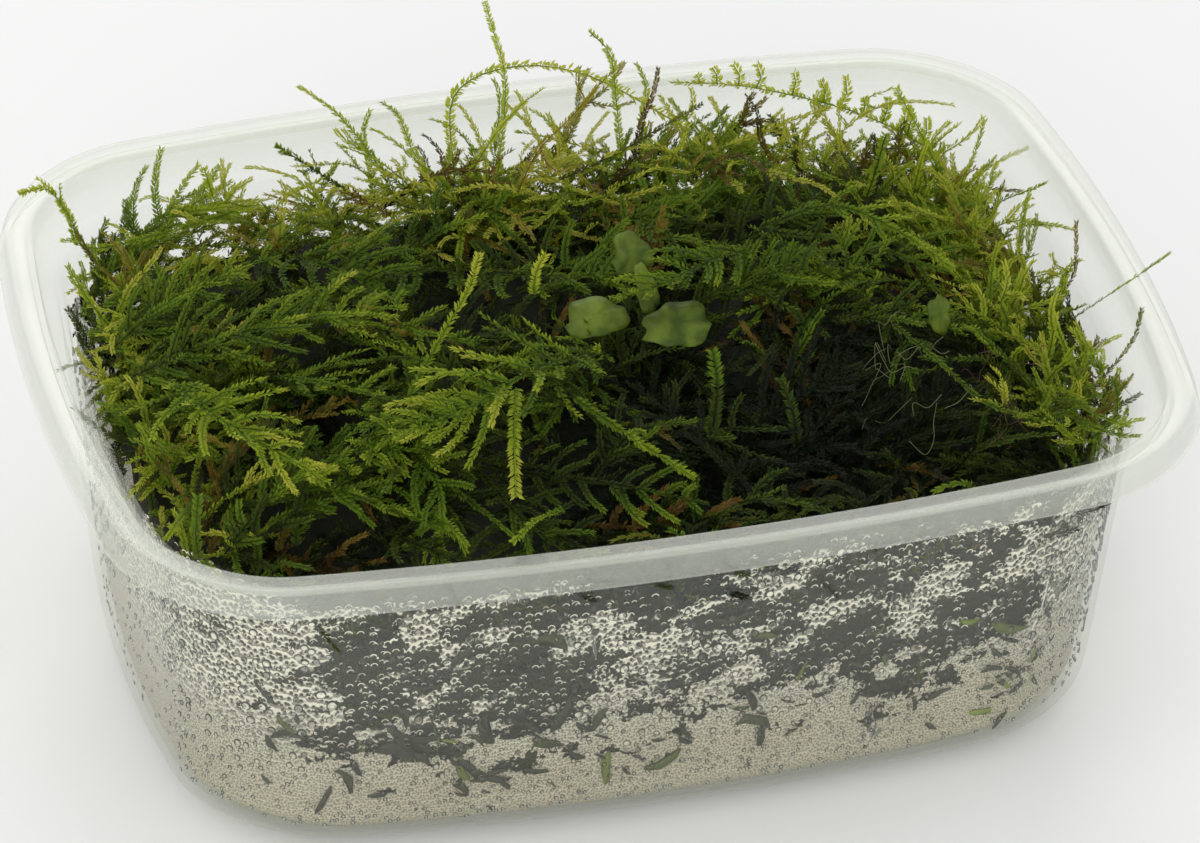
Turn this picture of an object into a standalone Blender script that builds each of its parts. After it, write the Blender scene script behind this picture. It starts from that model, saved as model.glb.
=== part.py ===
"""A clump of feather moss in the open plastic tub that holds it.

The tub is one thin-walled moulding with a lid rim. The loose shoots fill it as a domed
mat, the larger fronds and bare shoots lie on the mat or stand out of it, and a lobed
thallus grows in the middle. Origin: centre of the tub's base. Metres, +Z up, and the
long side of the tub along X.
"""
import math

import bmesh
import bpy
from mathutils import Matrix, Vector, noise

MM = 0.001

# Tub, all in millimetres
RIM_LENGTH = 148.0
RIM_WIDTH = 111.2
TUB_HEIGHT = 50.5
WALL = 0.8
RIM_CORNER = 19.4
BOW_ENDS = 4.9
BOW_SIDES = 4.5
SKIRT_DEPTH = 3.7
MOUTH_INSET = 4.5
COLLAR_DEPTH = 3.0
WALL_INSET = 6.6
WALL_TAPER = 4.1
BASE_RADIUS = 9.8
BASE_ROUND = 4.8

# Moss
GAP = 0.4
MAT_EDGE = 40.0
MAT_DOME = 12.0
MAT_HALF_LENGTH = 70.0
MAT_HALF_WIDTH = 50.0
SHOOT_RADIUS = 0.9
BRANCH_RADIUS = 0.7
THALLUS_THICKNESS = 0.5

CORNER_STEPS = 6
SIDE_STEPS = 3
TUBE_SIDES = 6


def material(name, colour, roughness, metallic=0.0):
    """A plain material with the sub-part's colour and finish."""
    made = bpy.data.materials.get(name)
    if made:
        return made
    made = bpy.data.materials.new(name)
    made.use_nodes = True
    shader = made.node_tree.nodes["Principled BSDF"]
    shader.inputs["Base Color"].default_value = (*colour, 1)
    shader.inputs["Roughness"].default_value = roughness
    shader.inputs["Metallic"].default_value = metallic
    return made


def milky_plastic():
    return material("milky_plastic", (0.80, 0.81, 0.78), 0.35)


def moss_green():
    return material("moss_green", (0.07, 0.13, 0.02), 0.75)


def young_green():
    return material("young_green", (0.38, 0.46, 0.06), 0.65)


def old_stem():
    return material("old_stem", (0.12, 0.08, 0.03), 0.75)


def thallus_green():
    return material("thallus_green", (0.16, 0.26, 0.03), 0.5)


def add_object(name, mesh, finish):
    """Puts a mesh in the scene as a named sub-part."""
    mesh.materials.append(finish)
    made = bpy.data.objects.new(name, mesh)
    bpy.context.scene.collection.objects.link(made)
    return made


def mesh_from(name, bm):
    """Closes a bmesh with its faces pointing out and returns it as a mesh in metres."""
    bmesh.ops.recalc_face_normals(bm, faces=bm.faces)
    bmesh.ops.scale(bm, vec=(MM, MM, MM), verts=bm.verts)
    mesh = bpy.data.meshes.new(name)
    bm.to_mesh(mesh)
    bm.free()
    mesh.shade_smooth()
    mesh.set_sharp_from_angle(angle=math.radians(40))
    return mesh


def tub_outline(inset, corner, height):
    """One level of the tub: a rounded rectangle with bowed sides, this far inside the rim."""
    half_x = RIM_LENGTH / 2 - inset
    half_y = RIM_WIDTH / 2 - inset
    centre_x = half_x - corner
    centre_y = half_y - corner
    arcs = []
    for sign_x, sign_y, start in ((1, 1, 0), (-1, 1, 90), (-1, -1, 180), (1, -1, 270)):
        arc = []
        for step in range(CORNER_STEPS + 1):
            angle = math.radians(start + 90 * step / CORNER_STEPS)
            arc.append(Vector((
                sign_x * centre_x + corner * math.cos(angle),
                sign_y * centre_y + corner * math.sin(angle),
            )))
        arcs.append(arc)
    points = []
    for arc, following in zip(arcs, arcs[1:] + arcs[:1]):
        points.extend(arc)
        for step in range(1, SIDE_STEPS + 1):
            points.append(arc[-1].lerp(following[0], step / (SIDE_STEPS + 1)))
    bowed = []
    for point in points:
        along_x = point.x / half_x
        along_y = point.y / half_y
        x = point.x - BOW_ENDS * along_x * along_y ** 2
        y = point.y - BOW_SIDES * along_y * along_x ** 2
        bowed.append(Vector((x, y)))
    widest_x = max(point.x for point in bowed)
    widest_y = max(point.y for point in bowed)
    return [Vector((p.x * half_x / widest_x, p.y * half_y / widest_y, height)) for p in bowed]


def loft(name, levels):
    """A closed solid: the first level's outline extruded through the others and filled."""
    bm = bmesh.new()
    first = [bm.verts.new(point) for point in levels[0]]
    ring = [bm.edges.new(pair) for pair in zip(first, first[1:] + first[:1])]
    bmesh.ops.contextual_create(bm, geom=ring)
    for level in levels[1:]:
        made = bmesh.ops.extrude_edge_only(bm, edges=ring)["geom"]
        ring = [item for item in made if isinstance(item, bmesh.types.BMEdge)]
        verts = [item for item in made if isinstance(item, bmesh.types.BMVert)]
        for vert, point in zip(verts, level):
            vert.co = point
    bmesh.ops.contextual_create(bm, geom=ring)
    return mesh_from(name, bm)


def wall_inset(height):
    """How far the outside of the tapered wall lies inside the rim at a height."""
    return WALL_INSET + WALL_TAPER * (1 - height / TUB_HEIGHT)


def base_curve(thickness, steps=4):
    """The rounded foot of the wall, from the flat base up, as (inset, corner, height)."""
    curve = []
    for step in range(steps + 1):
        angle = math.radians(90 * (1 - step / steps))
        inwards = (BASE_RADIUS - thickness) * (1 - math.cos(angle))
        height = thickness + (BASE_ROUND - thickness / 2) * (1 - math.sin(angle))
        inset = wall_inset(BASE_ROUND) + thickness + inwards
        curve.append((inset, 17.0 - 0.6 * inwards, height))
    return curve


def tub_section():
    """The moulding's section: under the base, up the outside, over the rim, down the inside."""
    top = TUB_HEIGHT
    wall_top = top - COLLAR_DEPTH - 1.2
    outside = base_curve(0.0)
    for share in (0.35, 0.7, 1.0):
        height = BASE_ROUND + (wall_top - BASE_ROUND) * share
        outside.append((wall_inset(height), 17.0, height))
    rim = [
        (MOUTH_INSET - WALL, 15.5, top - COLLAR_DEPTH),
        (MOUTH_INSET - WALL, 15.5, top - WALL - 0.2),
        (1.75, 17.7, top - WALL - 0.2),
        (WALL, 18.7, top - SKIRT_DEPTH),
        (0.0, RIM_CORNER, top - SKIRT_DEPTH),
        (0.35, 19.0, top - 2.2),
        (0.75, 18.7, top - 0.7),
        (1.15, 18.4, top - 0.1),
        (1.7, 18.0, top),
        (MOUTH_INSET - 0.35, 15.0, top),
        (MOUTH_INSET, 14.8, top - 0.35),
        (MOUTH_INSET, 14.8, top - COLLAR_DEPTH - 0.2),
    ]
    inside = []
    for share in (1.0, 0.7, 0.35):
        height = BASE_ROUND + (wall_top - WALL / 2 - BASE_ROUND) * share
        inside.append((wall_inset(height) + WALL, 16.2, height))
    inside.extend(reversed(base_curve(WALL)))
    return outside + rim + inside


def make_tub():
    """The tub is one closed moulding, so its section runs unbroken from base to inner floor."""
    levels = [tub_outline(*level) for level in tub_section()]
    add_object("tub", loft("tub", levels), milky_plastic())


def hump(x, y, centre_x, centre_y, reach_x, reach_y):
    """A smooth hump, 1 at its centre, that fades over its reach."""
    return math.exp(-((x - centre_x) / reach_x) ** 2 - ((y - centre_y) / reach_y) ** 2)


def mat_top(x, y):
    """Height of the packed moss: a loaf, hollow at the front right and low in one back corner."""
    across = 1 - min(abs(x / MAT_HALF_LENGTH), 1) ** 4
    along = 1 - min(abs(y / MAT_HALF_WIDTH), 1) ** 3
    height = MAT_EDGE + MAT_DOME * across * along
    height -= 7.0 * hump(x, y, 20, -28, 20, 11)
    height -= 6.0 * hump(x, y, 60, 38, 16, 16)
    height += 2.5 * hump(x, y, -30, -24, 24, 12)
    return height


def make_mat():
    """The packed shoots as one body that fits the tub's inside and has a tufted, domed top."""
    levels = []
    for inset, corner, height in base_curve(WALL):
        levels.append(tub_outline(inset + GAP, corner, height + GAP))
    for height in (14.0, 24.0, 33.0):
        levels.append(tub_outline(wall_inset(height) + WALL + GAP, 16.0, height))
    shoulder = tub_outline(wall_inset(MAT_EDGE) + WALL + GAP, 16.0, MAT_EDGE)
    for share in (0.985, 0.93, 0.84, 0.72, 0.58, 0.43, 0.27, 0.11):
        level = []
        for point in shoulder:
            x = point.x * share
            y = point.y * share
            tuft = noise.noise(Vector((x, y, 3.0)) * 0.16)
            level.append(Vector((x, y, mat_top(x, y) - 0.8 + 0.8 * tuft)))
        levels.append(level)
    add_object("moss_mat", loft("moss_mat", levels), moss_green())


def smooth_route(points, steps):
    """Points along a Catmull-Rom curve through a hand-laid route."""
    route = [Vector(point) for point in points]
    ends = [2 * route[0] - route[1]] + route + [2 * route[-1] - route[-2]]
    curve = []
    spans = len(route) - 1
    for step in range(steps + 1):
        place = min(step * spans / steps, spans - 1e-6)
        index = int(place)
        t = place - index
        a, b, c, d = ends[index:index + 4]
        curve.append(0.5 * (
            2 * b
            + (c - a) * t
            + (2 * a - 5 * b + 4 * c - d) * t ** 2
            + (3 * b - a - 3 * c + d) * t ** 3
        ))
    return curve


def above_mat(points, radius):
    """Lifts a route where it would sink into the mat."""
    lifted = []
    for point in points:
        floor = mat_top(point.x, point.y) + radius + GAP
        lifted.append(Vector((point.x, point.y, max(point.z, floor))))
    return lifted


def tube(name, points, radii):
    """A round solid along the points, with a radius at each."""
    levels = []
    for index, point in enumerate(points):
        before = points[max(index - 1, 0)]
        after = points[min(index + 1, len(points) - 1)]
        heading = (after - before).normalized()
        side = heading.cross(Vector((0, 0, 1)))
        if side.length < 0.2:
            side = heading.cross(Vector((0, 1, 0)))
        side.normalize()
        up = side.cross(heading)
        level = []
        for corner in range(TUBE_SIDES):
            angle = 2 * math.pi * corner / TUBE_SIDES
            around = math.cos(angle) * side + math.sin(angle) * up
            level.append(point + radii[index] * around)
        levels.append(level)
    return loft(name, levels)


def make_shoot(name, route, finish, radius=SHOOT_RADIUS, steps=9):
    """A single leafy shoot that thins to its tip."""
    points = above_mat(smooth_route(route, steps), radius)
    radii = [radius * min(1.0, 1.5 - 1.25 * index / steps) for index in range(steps + 1)]
    add_object(name, tube(name, points, radii), finish)


def make_frond(name, route, finish, branches, length, tilt=0.25, steps=9):
    """A frond: a stem with leafy side branches in two rows, joined into one solid."""
    radius = SHOOT_RADIUS * 0.8
    points = above_mat(smooth_route(route, steps), radius)
    radii = [radius * (1 - 0.45 * index / steps) for index in range(steps + 1)]
    stem = add_object(name, tube(name, points, radii), finish)
    group = bpy.data.collections.new(name + "_branches")
    for number in range(branches):
        share = 0.14 + 0.74 * number / max(branches - 1, 1)
        index = share * steps
        low = int(index)
        start = points[low].lerp(points[low + 1], index - low)
        heading = (points[low + 1] - points[low]).normalized()
        side = heading.cross(Vector((0, 0, 1))).normalized()
        hand = 1 if number % 2 else -1
        reach = length * (1 - 0.45 * share)
        outwards = (0.55 * heading + hand * side + Vector((0, 0, tilt))).normalized()
        tip = start + reach * (outwards + 0.15 * heading)
        middle = start.lerp(tip, 0.5) + Vector((0, 0, 0.08 * reach))
        line = [start] + above_mat([middle, tip], BRANCH_RADIUS)
        branch_radii = [BRANCH_RADIUS * 0.7, BRANCH_RADIUS, BRANCH_RADIUS * 0.35]
        cutter = bpy.data.objects.new(
            name + "_branch", tube(name + "_branch", line, branch_radii))
        cutter.hide_render = True
        cutter.display_type = "WIRE"
        group.objects.link(cutter)
    bpy.context.scene.collection.children.link(group)
    joined = stem.modifiers.new("branches", "BOOLEAN")
    joined.operation = "UNION"
    joined.operand_type = "COLLECTION"
    joined.collection = group
    joined.solver = "EXACT"


def make_lobe(name, centre, half_length, half_width, turn, tilt):
    """One flat lobe of the thallus: a thin tilted plate with a wavy round edge."""
    count = 20
    levels = []
    for height in (-0.5, 0.5):
        level = []
        for step in range(count):
            angle = 2 * math.pi * step / count
            edge = 1 + 0.05 * math.cos(5 * angle)
            x = half_length * edge * math.cos(angle)
            y = half_width * edge * math.sin(angle)
            flat = Vector((x, y, height * THALLUS_THICKNESS))
            tilted = Matrix.Rotation(tilt, 3, "X") @ flat
            level.append(Vector(centre) + Matrix.Rotation(turn, 3, "Z") @ tilted)
        levels.append(level)
    add_object(name, loft(name, levels), thallus_green())


def make_moss_on_top():
    """The fronds and shoots that stand clear of the mat, back to front, in millimetres."""
    young = young_green()
    green = moss_green()
    brown = old_stem()

    # the tangle over the back wall
    make_shoot("tallest_shoot", [(-4, 33, 50), (-3, 34, 64), (-5, 34, 73), (-6, 34, 77.5)], young)
    make_shoot("arched_shoot", [(-9, 37, 47), (-9, 38, 60), (-1, 39, 63), (10, 39, 60), (24, 38, 50)],
               young, radius=0.8, steps=14)
    make_shoot("hooked_shoot", [(13, 33, 50), (12, 33, 60), (11, 33, 68), (8, 33, 71)], young,
               radius=0.8)
    make_shoot("crossed_shoot", [(2, 29, 48), (10, 27, 55), (18, 26, 60), (22, 26, 62)], brown,
               radius=0.7)
    make_frond("back_frond", [(58, 35, 43), (52, 37, 47), (44, 38, 51), (31, 38, 56), (21, 38, 58)],
               young, branches=7, length=6, tilt=1.4, steps=11)
    make_shoot("back_right_shoot", [(57, 27, 42), (53, 26, 52), (48, 24, 62)], young)
    make_shoot("upright_shoot", [(42, 16, 48), (43, 16, 54), (44, 15, 61)], green, radius=1.1)
    make_shoot("corner_shoot", [(60, 30, 40), (62, 30, 46), (63, 30, 51)], young, radius=0.7)
    make_shoot("back_left_frond", [(-24, 33, 50), (-30, 34, 55), (-34, 35, 58)], green)
    make_shoot("yellow_shoot", [(-41, 38, 46), (-42, 38, 50), (-43, 38, 54)], young)

    # the left end
    make_shoot("left_arch", [(-40, 34, 49), (-50, 34, 47), (-60, 33, 47), (-62, 33, 52),
                             (-65, 33, 57), (-69, 32, 57.5)], young, radius=0.8, steps=15)
    make_shoot("left_wall_shoot", [(-60, 14, 45), (-63, 16, 50), (-65.5, 18, 55)], young, radius=0.7)
    make_shoot("left_wall_stem", [(-57, 24, 44), (-60, 26, 49), (-62.5, 27, 54)], brown, radius=0.7)
    make_frond("left_back_frond", [(-62, 11, 45), (-53, 13, 51), (-42, 14, 54)], green,
               branches=6, length=7)
    make_frond("long_left_frond", [(-62, 2, 47), (-50, 1, 52), (-38, 0, 54.5), (-25, -1, 55)], green,
               branches=8, length=10)
    make_frond("front_left_fan", [(-59, -13, 56), (-55, -24, 56), (-43, -34, 52)], green,
               branches=6, length=8)

    # the middle and the front
    make_shoot("bright_shoot", [(-30, -22, 56), (-25, -17, 60), (-20, -13, 65), (-18, -10, 68)], young)
    make_shoot("comb_shoot", [(-8, -1, 54), (-8, -1, 57), (-7, -2, 61)], young, radius=1.0)
    make_frond("front_fan", [(-3, -15, 54), (-14, -24, 59), (-24, -29, 58), (-34, -29, 55)], green,
               branches=8, length=9)
    make_shoot("hanging_shoot", [(-18, -29, 60), (-20, -36, 57), (-21, -41, 51)], young, radius=1.0)
    make_shoot("spreading_shoot", [(-10, -27, 56), (-5, -33, 53), (3, -38, 47)], green, radius=1.0)
    make_shoot("rim_shoot", [(-15, -42, 50), (-20, -47, 52.6), (-24, -50.5, 52.2)], young, radius=0.7)
    make_shoot("front_comb", [(-60, -35, 43), (-60, -33, 47), (-59, -30, 51)], green, radius=1.0)
    make_shoot("dark_comb", [(8, -28, 46), (10, -24, 52), (10, -21, 56)], green, radius=1.1)
    make_shoot("hollow_comb", [(20, -27, 43.5), (20, -24.5, 47.5), (19, -22, 51)], green, radius=1.0)

    # the right end
    make_frond("thallus_frond", [(27, 3, 54), (16, -3, 57.5), (7, -8, 58), (0, -10, 58)], green,
               branches=6, length=7)
    make_shoot("right_arch", [(24, 6, 55), (33, 3, 59), (40, -3, 58), (46, -9, 55)], green,
               radius=1.0, steps=11)
    make_shoot("right_strand", [(36, -15, 52), (40, -24, 51), (44, -31, 49), (51, -34, 47)], green)
    make_shoot("right_wall_stem", [(63, -4, 43), (64, -6, 50), (64, -5, 57)], brown, radius=0.7)
    make_shoot("rim_tendril", [(61, -14, 48), (66, -18, 55), (72, -19, 60)], young, radius=0.6)
    make_shoot("budded_shoot", [(61, -25, 45), (65, -26, 52), (66, -26, 57)], brown, radius=0.7)
    make_shoot("right_curl", [(56.5, -36, 44), (60.5, -34.5, 47), (61, -31, 50)], green, radius=0.7)

    # the thallus in the middle
    make_lobe("thallus_round_lobe", (4.5, 3.5, 57.5), 2.5, 2.9, 0.1, 0.9)
    make_lobe("thallus_left_lobe", (-3.6, -5.0, 54.6), 4.0, 2.6, 0.1, 0.35)
    make_lobe("thallus_right_lobe", (11.5, -9.6, 53.6), 4.6, 2.6, 0.25, 0.25)


for leftover in list(bpy.data.objects):
    bpy.data.objects.remove(leftover, do_unlink=True)

make_tub()
make_mat()
make_moss_on_top()
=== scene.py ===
"""The looks of a clump of feather moss in its open food tub."""
import math
import random

import bmesh
import bpy
import numpy as np
from mathutils import Matrix, Vector, noise


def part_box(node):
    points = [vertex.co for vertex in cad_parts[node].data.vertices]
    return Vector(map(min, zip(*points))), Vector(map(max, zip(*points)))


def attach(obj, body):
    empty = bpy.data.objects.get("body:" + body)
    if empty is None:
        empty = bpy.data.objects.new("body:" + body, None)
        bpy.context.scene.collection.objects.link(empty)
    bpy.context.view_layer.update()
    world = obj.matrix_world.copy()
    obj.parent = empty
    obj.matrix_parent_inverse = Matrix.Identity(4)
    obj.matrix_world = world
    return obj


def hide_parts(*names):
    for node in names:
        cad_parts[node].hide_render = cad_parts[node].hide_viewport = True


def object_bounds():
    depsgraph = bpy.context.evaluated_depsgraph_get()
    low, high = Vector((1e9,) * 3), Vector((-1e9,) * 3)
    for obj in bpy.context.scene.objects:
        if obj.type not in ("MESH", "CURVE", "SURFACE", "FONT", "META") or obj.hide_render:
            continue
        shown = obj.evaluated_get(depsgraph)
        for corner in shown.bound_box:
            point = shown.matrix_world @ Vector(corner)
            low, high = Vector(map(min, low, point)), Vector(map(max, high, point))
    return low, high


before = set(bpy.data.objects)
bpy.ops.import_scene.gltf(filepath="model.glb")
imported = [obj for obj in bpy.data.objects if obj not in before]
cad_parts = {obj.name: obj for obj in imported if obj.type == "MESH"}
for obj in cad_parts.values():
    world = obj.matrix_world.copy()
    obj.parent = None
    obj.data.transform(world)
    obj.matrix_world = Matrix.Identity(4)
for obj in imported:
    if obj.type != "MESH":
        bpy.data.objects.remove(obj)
cad_low, cad_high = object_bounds()


# ---------------------------------------------------------------- studio
# A pale table in soft light from all round, with large lamps overhead, in front of the tub,
# and behind it, where one shines through the plastic. The camera looks down on the front of
# the tub, from a little to its left.

MM = 0.001
CAMERA_TARGET = Vector((4.1, 8.9, 25.2)) * MM
CAMERA_DISTANCE = 959.6 * MM
CAMERA_AZIMUTH = math.radians(-16.2)
CAMERA_ELEVATION = math.radians(35.2)
CAMERA_ROLL = math.radians(1.66)
CAMERA_LENS = 216.8
SKY_COLOUR = (0.97, 0.985, 1.0, 1)
SKY_STRENGTH = 0.75
TABLE_COLOUR = (0.90, 0.90, 0.895, 1)
TABLE_REACH = 6
# Each lamp: its name, its place and size in metres, its power in watts, and its colour.
LAMPS = (
    ("overhead", (-0.2, 0.1, 1.1), 0.5, 1.0, (1.0, 0.985, 0.95)),
    ("behind", (0.25, 1.0, 0.75), 0.6, 3.1, (1.0, 0.975, 0.93)),
    ("front", (-0.45, -1.0, 0.5), 0.8, 5.0, (1.0, 0.985, 0.95)),
)


def add_camera():
    """A long lens, far off, that looks at the target."""
    towards = Vector((
        math.sin(CAMERA_AZIMUTH) * math.cos(CAMERA_ELEVATION),
        -math.cos(CAMERA_AZIMUTH) * math.cos(CAMERA_ELEVATION),
        math.sin(CAMERA_ELEVATION),
    ))
    data = bpy.data.cameras.new("camera")
    data.sensor_width = 36
    data.lens = CAMERA_LENS
    data.clip_start = 0.01
    camera = bpy.data.objects.new("camera", data)
    camera.location = CAMERA_TARGET + towards * CAMERA_DISTANCE
    turn = towards.to_track_quat("Z", "Y").to_matrix() @ Matrix.Rotation(CAMERA_ROLL, 3, "Z")
    camera.rotation_euler = turn.to_euler()
    bpy.context.scene.collection.objects.link(camera)
    bpy.context.scene.camera = camera


def add_lamp(name, place, size, power, colour):
    """A round lamp that faces the middle of the table."""
    data = bpy.data.lights.new(name, "AREA")
    data.shape = "DISK"
    data.size = size
    data.energy = power
    data.color = colour
    lamp = bpy.data.objects.new(name, data)
    lamp.location = place
    lamp.rotation_euler = Vector(place).to_track_quat("Z", "Y").to_euler()
    bpy.context.scene.collection.objects.link(lamp)


def add_sky():
    """Even light from all round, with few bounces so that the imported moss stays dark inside."""
    world = bpy.data.worlds.new("studio")
    world.use_nodes = True
    background = world.node_tree.nodes["Background"]
    background.inputs["Color"].default_value = SKY_COLOUR
    background.inputs["Strength"].default_value = SKY_STRENGTH
    bpy.context.scene.world = world
    cycles = bpy.context.scene.cycles
    cycles.max_bounces = 5
    cycles.diffuse_bounces = 2
    cycles.glossy_bounces = 2
    cycles.transmission_bounces = 5


def add_table():
    """A matt, nearly white table top."""
    bm = bmesh.new()
    bmesh.ops.create_grid(bm, x_segments=1, y_segments=1, size=TABLE_REACH)
    mesh = bpy.data.meshes.new("table_top")
    bm.to_mesh(mesh)
    bm.free()
    table = bpy.data.objects.new("table_top", mesh)
    bpy.context.scene.collection.objects.link(table)
    paint = bpy.data.materials.new("table_white")
    paint.use_nodes = True
    shader = paint.node_tree.nodes["Principled BSDF"]
    shader.inputs["Base Color"].default_value = TABLE_COLOUR
    shader.inputs["Roughness"].default_value = 0.9
    shader.inputs["Specular IOR Level"].default_value = 0.0
    mesh.materials.append(paint)


bpy.context.scene.view_settings.view_transform = "Standard"
add_camera()
add_sky()
for lamp in LAMPS:
    add_lamp(*lamp)
add_table()


# ---------------------------------------------------------------- tub
# The tub is one thin moulding of milky polypropylene: a rounded foot, a tapered wall with
# bowed sides, a collar at the mouth, and a rolled rim whose skirt turns down to take a lid.

tub_low, tub_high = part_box("tub")
RIM_LENGTH = (tub_high.x - tub_low.x) / MM
RIM_WIDTH = (tub_high.y - tub_low.y) / MM
TUB_HEIGHT = (tub_high.z - tub_low.z) / MM
WALL = 0.8
RIM_CORNER = 19.4
BOW_ENDS = 4.9
BOW_SIDES = 4.5
SKIRT_DEPTH = 3.7
MOUTH_INSET = 4.5
COLLAR_DEPTH = 3.0
WALL_INSET = 6.6
WALL_TAPER = 4.1
BASE_RADIUS = 9.8
BASE_ROUND = 4.8
WALL_CORNER = 17.0
INNER_CORNER = 16.2
BASE_LEVELS = ((45.0, 4.0), (30.0, 8.0))
MILKY_RIM = (45.5 * MM, 47.5 * MM)
CLOUDY_FOOT = (6.0 * MM, 1.0 * MM)


class Finish:
    """A material that is built from its nodes, with Python arithmetic on its numbers."""

    def __init__(self, name):
        self.material = bpy.data.materials.new(name)
        self.material.use_nodes = True
        self.tree = self.material.node_tree
        self.tree.nodes.clear()

    def node(self, kind, settings=None, out=0, **values):
        """Adds a node, sets it up, fills or links its sockets, and returns one output."""
        made = self.tree.nodes.new(kind)
        for key, value in (settings or {}).items():
            if key == "ramp":
                while len(made.color_ramp.elements) < len(value):
                    made.color_ramp.elements.new(0.5)
                for stop, (place, colour) in zip(made.color_ramp.elements, value):
                    stop.position = place
                    stop.color = (*colour, 1)
            else:
                setattr(made, key, value)
        for key, value in values.items():
            number = key[3:] if key.startswith("at_") else None
            socket = made.inputs[int(number)] if number else made.inputs[key.replace("_", " ")]
            if isinstance(value, Number):
                self.tree.links.new(value.socket, socket)
            elif isinstance(value, tuple) and len(value) == 3 and socket.type == "RGBA":
                socket.default_value = (*value, 1)
            else:
                socket.default_value = value
        return Number(self, made.outputs[out])

    def surface(self, shader):
        """Makes the shader the material's surface and returns the material."""
        output = self.tree.nodes.new("ShaderNodeOutputMaterial")
        self.tree.links.new(shader.socket, output.inputs["Surface"])
        return self.material


class Number:
    """A node's output that takes part in Python arithmetic by adding Math nodes."""

    def __init__(self, finish, socket):
        self.finish = finish
        self.socket = socket

    def join(self, operation, first, second):
        return self.finish.node(
            "ShaderNodeMath", {"operation": operation}, at_0=first, at_1=second)

    def __add__(self, other):
        return self.join("ADD", self, other)

    def __radd__(self, other):
        return self.join("ADD", other, self)

    def __sub__(self, other):
        return self.join("SUBTRACT", self, other)

    def __rsub__(self, other):
        return self.join("SUBTRACT", other, self)

    def __mul__(self, other):
        return self.join("MULTIPLY", self, other)

    def __rmul__(self, other):
        return self.join("MULTIPLY", other, self)

    def between(self, low, high):
        """0 at low, 1 at high, and smooth between them."""
        return self.finish.node(
            "ShaderNodeMapRange", {"interpolation_type": "SMOOTHSTEP"},
            Value=self, From_Min=low, From_Max=high)


def blend_colours(finish, share, first, second):
    """The first colour where share is 0 and the second where it is 1."""
    return finish.node(
        "ShaderNodeMix", {"data_type": "RGBA"}, out=2, at_0=share, at_6=first, at_7=second)


def tub_outline(inset, corner, height, corner_steps=16, side_steps=15):
    """One level of the tub: a rounded rectangle with bowed sides, this far inside the rim."""
    half_x = RIM_LENGTH / 2 - inset
    half_y = RIM_WIDTH / 2 - inset
    arcs = []
    for sign_x, sign_y, start in ((1, 1, 0), (-1, 1, 90), (-1, -1, 180), (1, -1, 270)):
        arc = []
        for step in range(corner_steps + 1):
            angle = math.radians(start + 90 * step / corner_steps)
            arc.append(Vector((
                sign_x * (half_x - corner) + corner * math.cos(angle),
                sign_y * (half_y - corner) + corner * math.sin(angle),
            )))
        arcs.append(arc)
    points = []
    for arc, following in zip(arcs, arcs[1:] + arcs[:1]):
        points.extend(arc)
        for step in range(1, side_steps + 1):
            points.append(arc[-1].lerp(following[0], step / (side_steps + 1)))
    bowed = []
    for point in points:
        along_x = point.x / half_x
        along_y = point.y / half_y
        x = point.x - BOW_ENDS * along_x * along_y ** 2
        y = point.y - BOW_SIDES * along_y * along_x ** 2
        bowed.append(Vector((x, y)))
    widest_x = max(point.x for point in bowed)
    widest_y = max(point.y for point in bowed)
    return [Vector((p.x * half_x / widest_x, p.y * half_y / widest_y, height)) for p in bowed]


def loft(levels, close_ends):
    """The first level's outline extruded through the others, with its ends filled if asked."""
    bm = bmesh.new()
    first = [bm.verts.new(point) for point in levels[0]]
    ring = [bm.edges.new(pair) for pair in zip(first, first[1:] + first[:1])]
    if close_ends:
        bmesh.ops.contextual_create(bm, geom=ring)
    for level in levels[1:]:
        made = bmesh.ops.extrude_edge_only(bm, edges=ring)["geom"]
        ring = [item for item in made if isinstance(item, bmesh.types.BMEdge)]
        verts = [item for item in made if isinstance(item, bmesh.types.BMVert)]
        for vert, point in zip(verts, level):
            vert.co = point
    if close_ends:
        bmesh.ops.contextual_create(bm, geom=ring)
    bmesh.ops.recalc_face_normals(bm, faces=bm.faces)
    return bm


def piece_from(name, bm, finish, smooth=True):
    """Turns a bmesh in millimetres into a piece of the object."""
    bmesh.ops.scale(bm, vec=(MM, MM, MM), verts=bm.verts)
    mesh = bpy.data.meshes.new(name)
    bm.to_mesh(mesh)
    bm.free()
    return piece_of(name, mesh, finish, smooth)


def piece_of(name, mesh, finish, smooth=True):
    """Puts a mesh in the scene as a piece that rides on the object."""
    mesh.materials.append(finish)
    mesh.polygons.foreach_set("use_smooth", [smooth] * len(mesh.polygons))
    piece = bpy.data.objects.new(name, mesh)
    bpy.context.scene.collection.objects.link(piece)
    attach(piece, "root")
    return piece


def wall_inset(height):
    """How far the outside of the tapered wall lies inside the rim at a height."""
    return WALL_INSET + WALL_TAPER * (1 - height / TUB_HEIGHT)


def base_curve(thickness, steps=7):
    """The rounded foot of the wall, from the flat base up, as (inset, corner, height)."""
    curve = []
    for step in range(steps + 1):
        angle = math.radians(90 * (1 - step / steps))
        inwards = (BASE_RADIUS - thickness) * (1 - math.cos(angle))
        height = thickness + (BASE_ROUND - thickness / 2) * (1 - math.sin(angle))
        inset = wall_inset(BASE_ROUND) + thickness + inwards
        curve.append((inset, WALL_CORNER - 0.6 * inwards, height))
    return curve


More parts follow.
